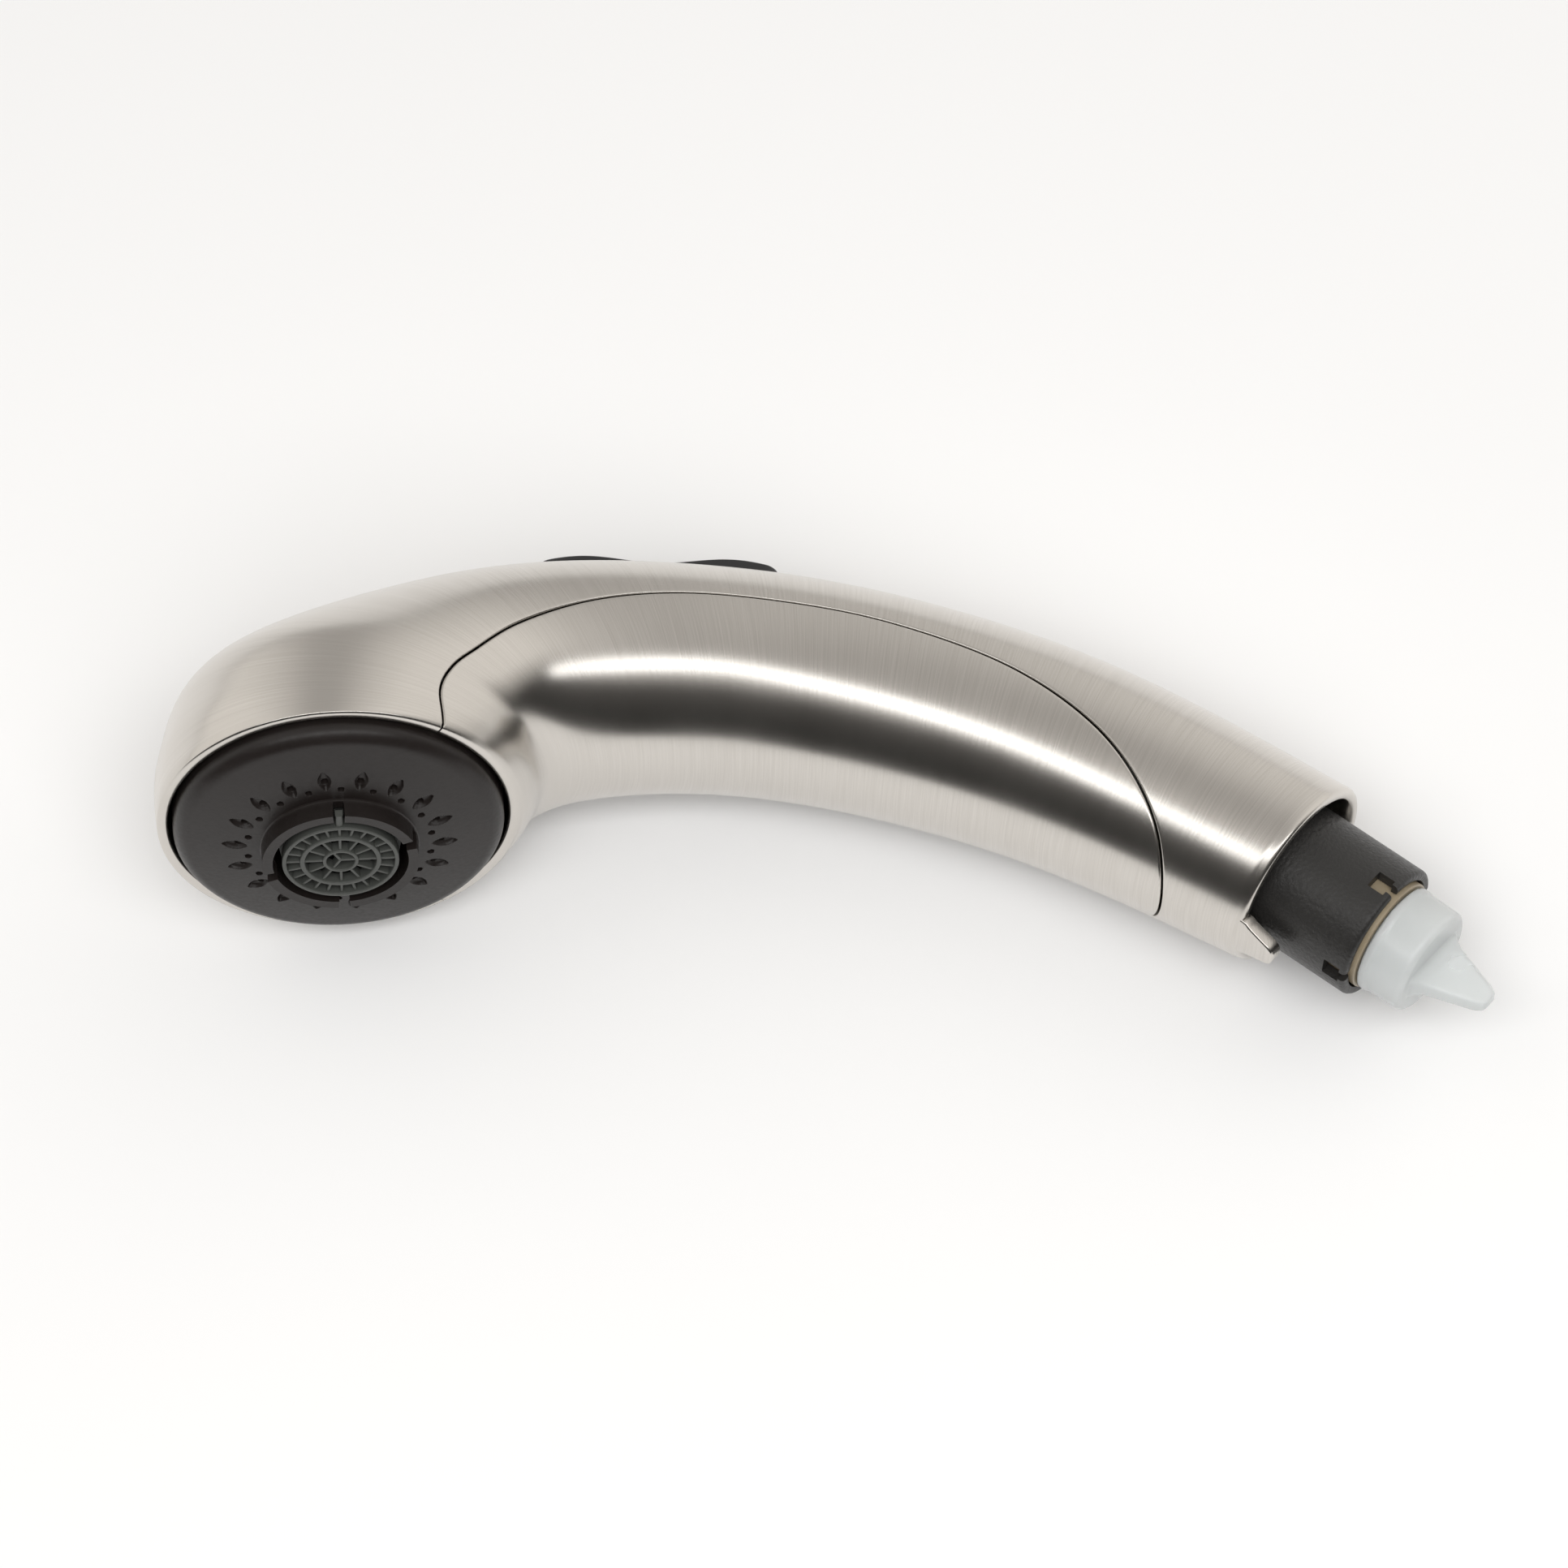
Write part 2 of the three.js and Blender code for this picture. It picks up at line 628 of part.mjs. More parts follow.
add(valveFrame, "diverter_body", diverterBody(), blackPlastic);
add(valveFrame, "diverter_spool", diverterSpool(), whitePlastic);
add(valveFrame, "spool_seal_front", spoolSeal(-8.8), blackRubber);
add(valveFrame, "spool_seal_rear", spoolSeal(8.8), blackRubber);
add(valveFrame, "rocker_button", rockerButton(), blackPlastic);
add(valveFrame, "rocker_pin", rockerPin(), steel);
add(valveFrame, "rocker_bracket", rockerBracket(), blackPlastic);
add(valveFrame, "detent_spring", detentSpring(), steel);
const frontSeal = add(valveFrame, "waterway_seal_front", waterwaySeal(12.8), blackRubber);
frontSeal.rotation.y = Math.PI / 2;
frontSeal.position.z = -valveDepth;

add(tailFrame, "waterway_seal_rear", waterwaySeal(-15.7), blackRubber);
add(tailFrame, "inlet_sleeve", inletSleeve(), blackPlastic);
add(tailFrame, "retaining_ring", retainingRing(), steel);
add(tailFrame, "inlet_socket", inletSocket(), tanPlastic);
add(tailFrame, "strainer_screen", strainerScreen(), steel);
add(tailFrame, "inlet_washer", inletWasher(), blackRubber);
add(tailFrame, "check_valve_housing", checkValveHousing(), whitePlastic);
poppetSeats.forEach((seat, k) => {
  add(tailFrame, `check_poppet_${k + 1}`, checkPoppet(seat), whitePlastic);
  add(tailFrame, `check_spring_${k + 1}`, checkSpring(seat), steel);
});
add(tailFrame, "transport_cap", transportCap(), clearPlastic);

// The wand as it lies, with the middle of its footprint at the origin.
wand.rotation.set(restRoll, restTilt, restPan, "YXZ");
const assembly = new THREE.Group();
assembly.add(wand);
assembly.updateMatrixWorld(true);
const box = new THREE.Box3().setFromObject(assembly, true);
const centre = box.getCenter(new THREE.Vector3());
wand.position.set(-centre.x, -centre.y, -box.min.z);

export default assembly;
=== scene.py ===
"""The looks of a pull-out kitchen tap spray head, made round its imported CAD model."""
import json
import math

import bmesh
import bpy
import numpy as np
from mathutils import Matrix, Vector


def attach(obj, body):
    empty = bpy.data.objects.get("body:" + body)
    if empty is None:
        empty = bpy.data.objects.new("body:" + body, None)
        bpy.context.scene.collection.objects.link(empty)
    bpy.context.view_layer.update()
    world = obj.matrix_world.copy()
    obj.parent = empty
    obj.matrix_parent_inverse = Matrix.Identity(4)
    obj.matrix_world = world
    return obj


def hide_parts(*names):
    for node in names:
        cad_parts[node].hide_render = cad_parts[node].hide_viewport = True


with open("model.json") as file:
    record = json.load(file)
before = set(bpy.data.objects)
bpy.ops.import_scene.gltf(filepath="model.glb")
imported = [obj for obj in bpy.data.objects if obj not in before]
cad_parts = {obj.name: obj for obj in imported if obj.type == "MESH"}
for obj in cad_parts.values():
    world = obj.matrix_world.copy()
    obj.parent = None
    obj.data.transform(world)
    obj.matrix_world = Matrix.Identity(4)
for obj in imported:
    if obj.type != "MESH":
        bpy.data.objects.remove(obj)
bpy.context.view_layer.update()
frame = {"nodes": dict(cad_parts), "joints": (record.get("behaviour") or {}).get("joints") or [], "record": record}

MM = 0.001
TURN = 2 * math.pi

# ------------------------------------------------------------------ sizes, in millimetres and degrees

# The wand's body. The grip's back and belly are two bends about one centre.
WALL = 2.0
RIM_RADIUS = 29.2
GRIP_CENTRE = np.array([38.5, -139.0])
TAIL_ANGLE = 44
TAIL_RADIUS = 16.35
BACK_BEND = 182.3
BELLY_BEND = 149.6
SEAM_GAP = 0.3
SEAM_ROUND = 0.35

# The spray face and the aerator. Heights are ahead of the spray rim.
FACE_RADIUS = 26.7
FACE_SHOULDER = 3.0
FACE_EDGE = 0.1
FACE_BACK = -2.6
DOME_RADIUS = 120.0
COLLAR_RADIUS = 12.6
COLLAR_BORE = 10.9
COLLAR_HEIGHT = 8.8
COLLAR_NOTCHES = (18, 90, 196, 272)
NOTCH_FLOOR = 5.2
GRID_RADIUS = 9.4
GRID_HEIGHT = 8.2
KEY_ANGLE = 90
NOZZLES = 18
OUTER_TURN = math.radians(-3)
INNER_TURN = math.radians(8)
OUTER_NOZZLES = 16.3
INNER_NOZZLES = 14.9

# The rocker, placed by its angle round the bend and the bend's radius there.
ROCKER_ANGLE = 5
ROCKER_BEND = 184.5
ROCKER_LENGTH = 40.0
ROCKER_WIDTH = 17.0
ROCKER_HUMP = 13.0
ROCKER_DEPTH = 4.2
ROCKER_GAP = 0.5
PIVOT_DEPTH = 8.0

# The inlet end. Reach, mouth and seat are beyond the end of the shell.
SLEEVE_RADIUS = 11.7
SLEEVE_BORE = 10.0
SLEEVE_REACH = 17.6
SOCKET_RADIUS = 9.7
SOCKET_BORE = 8.3
SOCKET_MOUTH = 18.2
CAP_SEAT = SOCKET_MOUTH + 0.3
CAP_RADIUS = 9.45


# ------------------------------------------------------------------ frames

def unit(vector):
    return np.array(vector, float) / np.linalg.norm(vector)


def on_bend(radius, degrees):
    """A point of the middle plane, placed by the bend that the grip follows."""
    turn = np.radians(degrees)
    return GRIP_CENTRE + radius * np.array([np.sin(turn), np.cos(turn)])


def frame_matrix(origin, x, y, z):
    """The matrix that carries points from a frame with this origin and these axes."""
    matrix = Matrix.Identity(4)
    for column, axis in enumerate((x, y, z, origin)):
        for row in range(3):
            matrix[row][column] = float(axis[row])
    return matrix


def wand_matrix():
    """The wand's own frame, found from the rocker's hinge and the diverter spool's slide."""
    joints = {joint["name"]: joint for joint in frame["joints"]}
    side = unit(joints["rocker_hinge"]["axis"])
    along = unit(joints["spool_slide"]["axis"])
    outward = np.cross(side, along)
    turn = math.radians(ROCKER_ANGLE)
    x = math.cos(turn) * along + math.sin(turn) * outward
    y = math.cos(turn) * outward - math.sin(turn) * along
    pivot = MM * on_bend(ROCKER_BEND - PIVOT_DEPTH, ROCKER_ANGLE)
    origin = np.array(joints["rocker_hinge"]["pos_m"]) - pivot[0] * x - pivot[1] * y
    return frame_matrix(origin, x, y, side)


def bend_frame(degrees, middle, side):
    """A frame on the bent grip: its x and z lie in the wand's middle plane."""
    turn = math.radians(degrees)
    outward = (math.sin(turn), math.cos(turn), 0)
    along = (math.cos(turn), -math.sin(turn), 0)
    x, z = (along, outward) if side < 0 else (outward, along)
    return frame_matrix((*(MM * middle), 0), x, (0, 0, side), z)


UP = np.array([0.0, 0.0, 1.0])
TAIL_MIDDLE = on_bend((BACK_BEND + BELLY_BEND) / 2, TAIL_ANGLE)
TAIL_FRAME = bend_frame(TAIL_ANGLE, TAIL_MIDDLE, 1)
WAND = wand_matrix()
HEAD = WAND @ frame_matrix((0, 0, 0), (1, 0, 0), (0, 0, 1), (0, -1, 0))
TAIL = WAND @ TAIL_FRAME
VALVE = WAND @ bend_frame(ROCKER_ANGLE, on_bend(ROCKER_BEND, ROCKER_ANGLE), -1)


# ------------------------------------------------------------------ mesh making

class Skin:
    """Points in millimetres, with the faces between them, that become one mesh."""

    def __init__(self):
        self.points = []
        self.flow = []
        self.faces = []
        self.count = 0

    def add(self, points, flow=None):
        """Adds a grid of points and returns the grid of their numbers."""
        points = np.asarray(points, float)
        flow = points if flow is None else np.asarray(flow, float)
        size = points[..., 0].size
        self.points.append(points.reshape(-1, 3))
        self.flow.append(flow.reshape(-1, 3))
        self.count += size
        return np.arange(self.count - size, self.count).reshape(points.shape[:-1])

    def quads(self, ids, closed=False, keep=None):
        """Faces over a grid of points. keep says which cells to make."""
        if closed:
            ids = np.concatenate([ids, ids[:, :1]], axis=1)
        cells = np.stack([ids[:-1, :-1], ids[1:, :-1], ids[1:, 1:], ids[:-1, 1:]], axis=-1)
        cells = cells.reshape(-1, 4) if keep is None else cells[keep]
        self.faces.extend(cells.tolist())

    def lid(self, ids):
        """One face over a loop of points."""
        self.faces.append(ids.ravel().tolist())

    def bar(self, points):
        """A solid bar through a grid of points: its sides and its two ends."""
        ids = self.add(points)
        self.quads(ids, closed=True)
        self.lid(ids[0])
        self.lid(ids[-1])

    def walls(self, outer, inner, hole):
        """The wall round the holes of two matching grids, from the outer one to the inner."""
        edge = np.zeros((hole.shape[0] + 2, hole.shape[1] + 2), bool)
        edge[1:-1, 1:-1] = hole
        for r, c in np.argwhere(edge[1:, 1:-1] != edge[:-1, 1:-1]):
            if 0 < r < len(hole):
                self.faces.append([outer[r, c], outer[r, c + 1], inner[r, c + 1], inner[r, c]])
        for r, c in np.argwhere(edge[1:-1, 1:] != edge[1:-1, :-1]):
            if 0 < c < hole.shape[1]:
                self.faces.append([outer[r, c], outer[r + 1, c], inner[r + 1, c], inner[r, c]])

    def make(self, name, matrix, sharp):
        """The mesh object, moved from its own frame to the row's."""
        mesh = bpy.data.meshes.new(name)
        faces = [[int(v) for k, v in enumerate(face) if v != face[k - 1]] for face in self.faces]
        mesh.from_pydata((np.vstack(self.points) * MM).tolist(), [], [f for f in faces if len(f) > 2])
        flow = mesh.attributes.new("flow", "FLOAT_VECTOR", "POINT")
        flow.data.foreach_set("vector", np.vstack(self.flow).ravel())
        clean(mesh)
        mesh.transform(matrix)
        return shown(name, mesh, sharp)


def clean(mesh):
    """Joins the points that coincide, and turns every face outwards."""
    work = bmesh.new()
    work.from_mesh(mesh)
    bmesh.ops.remove_doubles(work, verts=work.verts, dist=2e-6)
    bmesh.ops.dissolve_degenerate(work, edges=work.edges, dist=1e-7)
    bmesh.ops.recalc_face_normals(work, faces=work.faces)
    work.to_mesh(mesh)
    work.free()


def shown(name, mesh, sharp):
    """The mesh as an object, shaded smooth but for edges sharper than so many degrees."""
    piece = bpy.data.objects.new(name, mesh)
    bpy.context.scene.collection.objects.link(piece)
    mesh.polygons.foreach_set("use_smooth", [True] * len(mesh.polygons))
    mesh.set_sharp_from_angle(angle=math.radians(sharp))
    return piece


def turned_grid(radius, height, angles):
    """A row of points for each radius and height, with a column for each angle about z."""
    radius, height = radius[:, None], height[:, None]
    return np.stack([radius * np.cos(angles), radius * np.sin(angles), height + 0 * angles], -1)


def add_turned(skin, outline, sides=180):
    """A closed outline of (radius, height) points, turned about z."""
    radius, height = np.array(outline, float).T
    ids = skin.add(turned_grid(radius, height, np.arange(sides) * TURN / sides))
    skin.quads(np.concatenate([ids, ids[:1]]), closed=True)


def rounded(outline, radius, steps=5):
    """A closed outline whose every corner is rounded to the radius."""
    corners = [np.array(corner, float) for corner in outline]
    points = []
    for k, corner in enumerate(corners):
        before = corners[k - 1] - corner
        after = corners[(k + 1) % len(corners)] - corner
        half = math.acos(np.clip(unit(before) @ unit(after), -1, 1)) / 2
        reach = min(radius / math.tan(half), 0.45 * np.linalg.norm(before), 0.45 * np.linalg.norm(after))
        centre = corner + unit(unit(before) + unit(after)) * reach / math.cos(half)
        start = corner + unit(before) * reach - centre
        end = corner + unit(after) * reach - centre
        for share in np.linspace(0, 1, steps):
            arm = start * (1 - share) + end * share
            points.append(centre + unit(arm) * np.linalg.norm(start))
    return points


def smooth(knots):
    """A value that runs smoothly through (place, value) knots."""
    place, value = np.array(knots, float).T
    step = np.diff(place)
    rise = np.diff(value) / step
    slope = np.zeros(len(knots))
    slope[1:-1] = (rise[:-1] * step[1:] + rise[1:] * step[:-1]) / (step[:-1] + step[1:])
    slope[0] = 1.5 * rise[0] - 0.5 * slope[1]
    slope[-1] = 1.5 * rise[-1] - 0.5 * slope[-2]

    def at(where):
        i = np.clip(np.searchsorted(place, where, side="right") - 1, 0, len(knots) - 2)
        u = (where - place[i]) / step[i]
        ends = (1 - u) ** 2 * (1 + 2 * u) * value[i] + u**2 * (3 - 2 * u) * value[i + 1]
        return ends + step[i] * u * (1 - u) * ((1 - u) * slope[i] - u * slope[i + 1])

    return at


# ------------------------------------------------------------------ the wand's body

# How far along the wand, where its back and its belly are, and half its width there.
SECTIONS = [
    (0.0, (-RIM_RADIUS, 0), (RIM_RADIUS, 0), RIM_RADIUS),
    (0.1, (-28.8, 11.5), (31.4, 2.6), 29.5),
    (0.22, (-21.1, 26.3), (34.4, 6.7), 28.0),
    (0.36, (16.5, 43.1), (41.5, 7.3), 21.4),
    (0.55, on_bend(184.4, 8), on_bend(147.4, 11), 19.2),
    (0.78, on_bend(182.9, 26), on_bend(147.0, 27), 17.8),
    (1.0, on_bend(BACK_BEND, TAIL_ANGLE), on_bend(BELLY_BEND, TAIL_ANGLE), TAIL_RADIUS),
]
BODY_LENGTH = 200.0
BODY_RADIUS = 17
back_x = smooth([(along, back[0]) for along, back, belly, half in SECTIONS])
back_y = smooth([(along, back[1]) for along, back, belly, half in SECTIONS])
belly_x = smooth([(along, belly[0]) for along, back, belly, half in SECTIONS])
belly_y = smooth([(along, belly[1]) for along, back, belly, half in SECTIONS])
half_width = smooth([(along, half) for along, back, belly, half in SECTIONS])

# The seam between shell and grip panel, seen from the side. It ends on the belly, beyond SEAM_TAIL.
SEAM = [
    (17.2, -6), (17.2, -2), (17.2, 2), (17.0, 6.5), (18.6, 10.6), (22.2, 15.0), (30.2, 22.4), (42.0, 27.4),
    (56.0, 28.8), (73.0, 26.7), (90.0, 21.9), (108.0, 12.6), (121.0, 0.4), (128.5, -13), (131.0, -26),
    (131.2, -50),
]
SEAM_TAIL = 100

# Shares of the way along the wand: where the skins' rows begin and end, and where the rocker may be.
FIRST_ROW, LAST_ROW = 0.02, 0.992
ROCKER_STRETCH = (0.38, 0.9)

# How many rows and columns of faces the skins have.
SEAM_ROWS = 170
LIP_STEPS = 4
PANEL_COLUMNS = 120
PAD_COLUMNS = 36
FLANK_COLUMNS = 50
TAIL_ROWS = 25

# Rounded edges, outside first: depth below the outside, and place along that end's own axis.
RIM_EDGE = [(0, 0.3), (0.13, 0.1), (0.45, 0), (1.0, 0), (1.45, 0.06), (1.7, 0.25), (1.8, 0.6)]
TAIL_EDGE = [
    (0, -1.2), (0.04, -0.7), (0.21, -0.3), (0.5, -0.06), (0.85, 0), (1.45, 0), (1.8, -0.12), (1.97, -0.4),
]


def section_axes(along):
    """The middle of each section, and the half of it that points to the back."""
    back = np.stack([back_x(along), back_y(along)], -1)
    belly = np.stack([belly_x(along), belly_y(along)], -1)
    return (back + belly) / 2, (back - belly) / 2


def body_point(along, around, inside=0.0):
    """Points of the body: around is 0 on the back, a quarter turn on the upper side."""
    middle, half = section_axes(along)
    half = half * (1 - inside / np.linalg.norm(half, axis=-1, keepdims=True))
    plane = middle + half * np.cos(around)[..., None]
    side = (half_width(along) - inside) * np.sin(around)
    return np.concatenate([plane, side[..., None]], axis=-1)


def body_normal(along, around):
    """The way out of the body, from small steps along it and round it."""
    small = 1e-4
    d_along = body_point(along + small, around) - body_point(along - small, around)
    d_around = body_point(along, around + small) - body_point(along, around - small)
    normal = np.cross(d_around, d_along)
    return normal / np.linalg.norm(normal, axis=-1, keepdims=True)


def section_through(flat):
    """How far along the wand each flat point is, and its share of the way out to the back."""
    dense = np.linspace(0, 1, 1500)
    middle, half = section_axes(dense)
    offset = flat[:, None] - middle
    cross = half[:, 0] * offset[..., 1] - half[:, 1] * offset[..., 0]
    share = (offset * half).sum(-1) / (half**2).sum(-1)
    crossing = cross[:, :-1] * cross[:, 1:] <= 0
    first = np.argmin(np.where(crossing, np.abs(share[:, :-1]), np.inf), axis=1)
    rows = np.arange(len(flat))
    low, high = cross[rows, first], cross[rows, first + 1]
    along = dense[first] + (dense[1] - dense[0]) * low / (low - high)
    middle, half = section_axes(along)
    return along, ((flat - middle) * half).sum(-1) / (half**2).sum(-1)


def body_place(points):
    """(along, around) of points near the body's upper half."""
    along, share = section_through(points[:, :2])
    return along, np.arctan2(points[:, 2] / half_width(along), share)


def spline(points, place):
    """A curve through the points, at places counted in points."""
    points = np.array(points, float)
    i = np.clip(place.astype(int), 0, len(points) - 2)
    u = (place - i)[:, None]
    before, start, end = points[np.maximum(i - 1, 0)], points[i], points[i + 1]
    after = points[np.minimum(i + 2, len(points) - 1)]
    leave, arrive = (end - before) / 2, (after - start) / 2
    cubic = (2 * (start - end) + leave + arrive) * u**3
    return cubic + (3 * (end - start) - 2 * leave - arrive) * u**2 + leave * u + start


def even(points, count):
    """The same curve, with its points spread evenly along it."""
    steps = np.linalg.norm(np.diff(points, axis=0), axis=1)
    length = np.concatenate([[0], np.cumsum(steps)])
    goal = np.linspace(0, length[-1], count)
    return np.stack([np.interp(goal, length, points[:, k]) for k in range(3)], -1)


def seam_line():
    """The seam on the body's upper half, from the spray rim to the middle of the belly."""
    place = np.linspace(1, len(SEAM) - 1.1, 1200)
    flat = spline(SEAM, place)
    along, share = section_through(flat)
    last = np.argmax((share < -1) & (flat[:, 0] > SEAM_TAIL))
    end = place[last] - (place[1] - place[0]) * (share[last] + 1) / (share[last] - share[last - 1])
    flat = spline(SEAM, 1 + (end - 1) * np.sin(np.linspace(0, 1, 1200) * TURN / 4))
    along, share = section_through(flat)
    around = np.arccos(np.clip(share, -1, 1))
    around[-1] = math.pi
    return even(body_point(along, around), 800)


def across_seam(points):
    """At each seam point, the way into the grip panel and the way out of the body."""
    along, around = body_place(points)
    outward = body_normal(along, around)
    tangent = np.gradient(points, axis=0)
    tangent[-1] = (0, 0, -1)
    tangent /= np.linalg.norm(tangent, axis=1, keepdims=True)
    return np.cross(tangent, outward), outward


def skin_edge(side):
    """(along, around) of a skin's edge beside the seam. side is 1 for the panel, -1 for the shell."""
    line = seam_line()
    into, outward = across_seam(line)
    along, around = body_place(line + side * (SEAM_GAP / 2 + SEAM_ROUND) * into)
    keep = along > FIRST_ROW
    around[-1] = math.pi
    edge = even(body_point(along[keep], around[keep]), SEAM_ROWS)
    along, around = body_place(edge)
    along[0] = FIRST_ROW
    around[-1] = math.pi
    return along, around


def lip(edge, into, outward):
    """The rounded edge of a skin: columns of points that turn down into the seam."""
    columns = []
    for turn in np.linspace(0, TURN / 4, LIP_STEPS + 1)[1:]:
        sink = SEAM_ROUND * (1 - math.cos(turn))
        columns.append(edge - SEAM_ROUND * math.sin(turn) * into - sink * outward)
    return columns


def lower(points):
    """The mirror image, on the wand's lower side."""
    return points * np.array([1, 1, -1])


def flow_of(along, around):
    """Millimetres along the wand, and round it, for the lines of the brushing."""
    return np.stack([along * BODY_LENGTH, BODY_RADIUS * np.cos(around), BODY_RADIUS * np.sin(around)], -1)


def rim_rows(around):
    """The rows of points round the edge of the spray rim."""
    rows = [(RIM_RADIUS - depth, height) for depth, height in RIM_EDGE]
    return [np.stack([-r * np.cos(around), h + 0 * around, r * np.sin(around)], -1) for r, h in rows]


def tail_rows(around):
    """The rows of points round the edge of the inlet end."""
    to_back, _, outwards = np.array(TAIL_FRAME.to_3x3()).T
    across = np.cos(around)[:, None] * to_back + np.sin(around)[:, None] * UP
    middle = np.array([*TAIL_MIDDLE, 0])
    return [middle + height * outwards + (TAIL_RADIUS - depth) * across for depth, height in TAIL_EDGE]


def with_lips(grid, first, last):
    """A grid with a lip's columns added on either side."""
    return np.concatenate([np.stack(first[::-1], 1), grid, np.stack(last, 1)], axis=1)


def lip_angles(around, along):
    """The angles of a skin's columns, with those of its two lips added."""
    turns = np.linspace(0, TURN / 4, LIP_STEPS + 1)[1:]
    step = SEAM_ROUND * np.sin(turns) / half_width(along)[:, None]
    return np.concatenate([(around[:, :1] - step)[:, ::-1], around, around[:, -1:] + step], axis=1)


def grip_panel():
    """The belly side of the wand, as far as the seam."""
    along, start = skin_edge(1)
    around = start[:, None] + (TURN - 2 * start[:, None]) * np.linspace(0, 1, PANEL_COLUMNS + 1)
    wide = np.repeat(along[:, None], around.shape[1], axis=1)
    edge = body_point(along, start)
    upper_lip = lip(edge, *across_seam(edge))
    sunk = [body_point(along, start, WALL)] * LIP_STEPS
    outer = with_lips(body_point(wide, around), upper_lip, [lower(p) for p in upper_lip])
    inner = with_lips(body_point(wide, around, WALL), sunk, [lower(p) for p in sunk])
    around = lip_angles(around, along)
    skin = Skin()
    outer, inner = add_skin(skin, outer, inner, around, along, len(along))
    skin.quads(outer)
    skin.quads(inner)
    return skin.make("grip_panel_skin", WAND, 40)


def add_skin(skin, outer, inner, around, along, seam_rows):
    """Two grids a wall apart, joined round the spray rim and down both sides of the seam."""
    flow = flow_of(np.repeat(along[:, None], around.shape[1], axis=1), around)
    outer = skin.add(outer, flow)
    inner = skin.add(inner, flow)
    rim = rim_rows(around[0])
    rim = skin.add(np.stack(rim), np.stack([flow[0]] * len(rim)))
    front = np.concatenate([outer[:1], rim, inner[:1]])
    skin.quads(front)
    for column in (0, -1):
        skin.quads(np.stack([outer[:seam_rows, column], inner[:seam_rows, column]]))
        skin.lid(front[:, column])
    return outer, inner


def opening_ends():
    """How far along the wand the two ends of the rocker's opening are."""
    dense = np.linspace(*ROCKER_STRETCH, 400)
    turn = math.radians(ROCKER_ANGLE)
    origin = on_bend(ROCKER_BEND, ROCKER_ANGLE)
    place = (back_x(dense) - origin[0]) * math.cos(turn) - (back_y(dense) - origin[1]) * math.sin(turn)
    reach = ROCKER_LENGTH / 2 + ROCKER_GAP
    return np.interp([-reach, reach], place, dense)


def shell_grid():
    """The rows and columns of the shell: (along, around, how many rows the seam has)."""
    seam_along, seam_around = skin_edge(-1)
    rows = np.sort(np.concatenate([seam_along, opening_ends()]))
    tail = np.linspace(rows[-1], LAST_ROW, TAIL_ROWS + 1)[1:]
    along = np.concatenate([rows, tail])
    reach = np.concatenate([np.interp(rows, seam_along, seam_around), np.full(len(tail), math.pi)])
    side = np.arcsin((ROCKER_WIDTH / 2 + ROCKER_GAP) / half_width(along))[:, None]
    pad = side * np.linspace(-1, 1, PAD_COLUMNS + 1)
    flank = side + (reach[:, None] - side) * np.linspace(0, 1, FLANK_COLUMNS + 1)
    return along, np.concatenate([-flank[:, ::-1], pad[:, 1:-1], flank], axis=1), len(rows)


def main_shell():
    """The back of the wand, the spray rim and the round inlet end."""
    along, around, seam_rows = shell_grid()
    wide = np.repeat(along[:, None], around.shape[1], axis=1)
    outer, inner = body_point(wide, around), body_point(wide, around, WALL)
    into, outward = across_seam(outer[:seam_rows, -1])
    seam_lip = lip(outer[:seam_rows, -1], -into, outward)
    upper_lip = [np.concatenate([column, outer[seam_rows:, -1]]) for column in seam_lip]
    sunk = [inner[:, -1]] * LIP_STEPS
    outer = with_lips(outer, [lower(p) for p in upper_lip], upper_lip)
    inner = with_lips(inner, [lower(p) for p in sunk], sunk)
    around = np.clip(lip_angles(around, along), -math.pi, math.pi)
    skin = Skin()
    outer, inner = add_skin(skin, outer, inner, around, along, seam_rows)
    add_tail(skin, outer, inner, around[-1])
    opening, spare = np.zeros((2, len(along) - 1, around.shape[1] - 1), bool)
    first, last = np.searchsorted(along, opening_ends())
    pad = LIP_STEPS + FLANK_COLUMNS
    opening[first:last, pad : pad + PAD_COLUMNS] = True
    spare[seam_rows - 1 :, :LIP_STEPS] = True
    spare[seam_rows - 1 :, -LIP_STEPS:] = True
    skin.quads(outer, keep=~(opening | spare))
    skin.quads(inner, keep=~(opening | spare))
    skin.walls(outer, inner, opening)
    add_lug(skin)
    return skin.make("main_shell_skin", WAND, 40)


def add_tail(skin, outer, inner, around):
    """The rounded edge of the inlet end."""
    ring = slice(LIP_STEPS, -LIP_STEPS)
    around = around[ring]
    rows = tail_rows(around)
    ids = skin.add(np.stack(rows), np.stack([flow_of(np.ones(len(around)), around)] * len(rows)))
    skin.quads(np.concatenate([outer[-1:, ring], ids, inner[-1:, ring]]))


def bar_rows(stations, fillet, crown=0.0, corners=6, across=12):
    """Sections of a bar: its edges rounded, its top crowned. A station is (half width, bottom, top)."""
    rows = []
    for half, low, high in stations:
        turns = np.linspace(0, TURN / 4, corners)
        side = half - fillet * (1 - np.sin(turns))
        edge = np.stack([side, high - fillet * (1 - np.cos(turns))], -1)[::-1]
        flat = np.linspace(edge[-1][0], -edge[-1][0], across)[1:-1]
        top = np.stack([flat, np.full(len(flat), high)], -1)
        loop = np.concatenate([[(half, low)], edge, top, (edge * (-1, 1))[::-1], [(-half, low)]])
        loop[1:-1, 1] -= crown * (loop[1:-1, 0] / max(half, 1)) ** 2
        rows.append(loop)
    return np.array(rows)


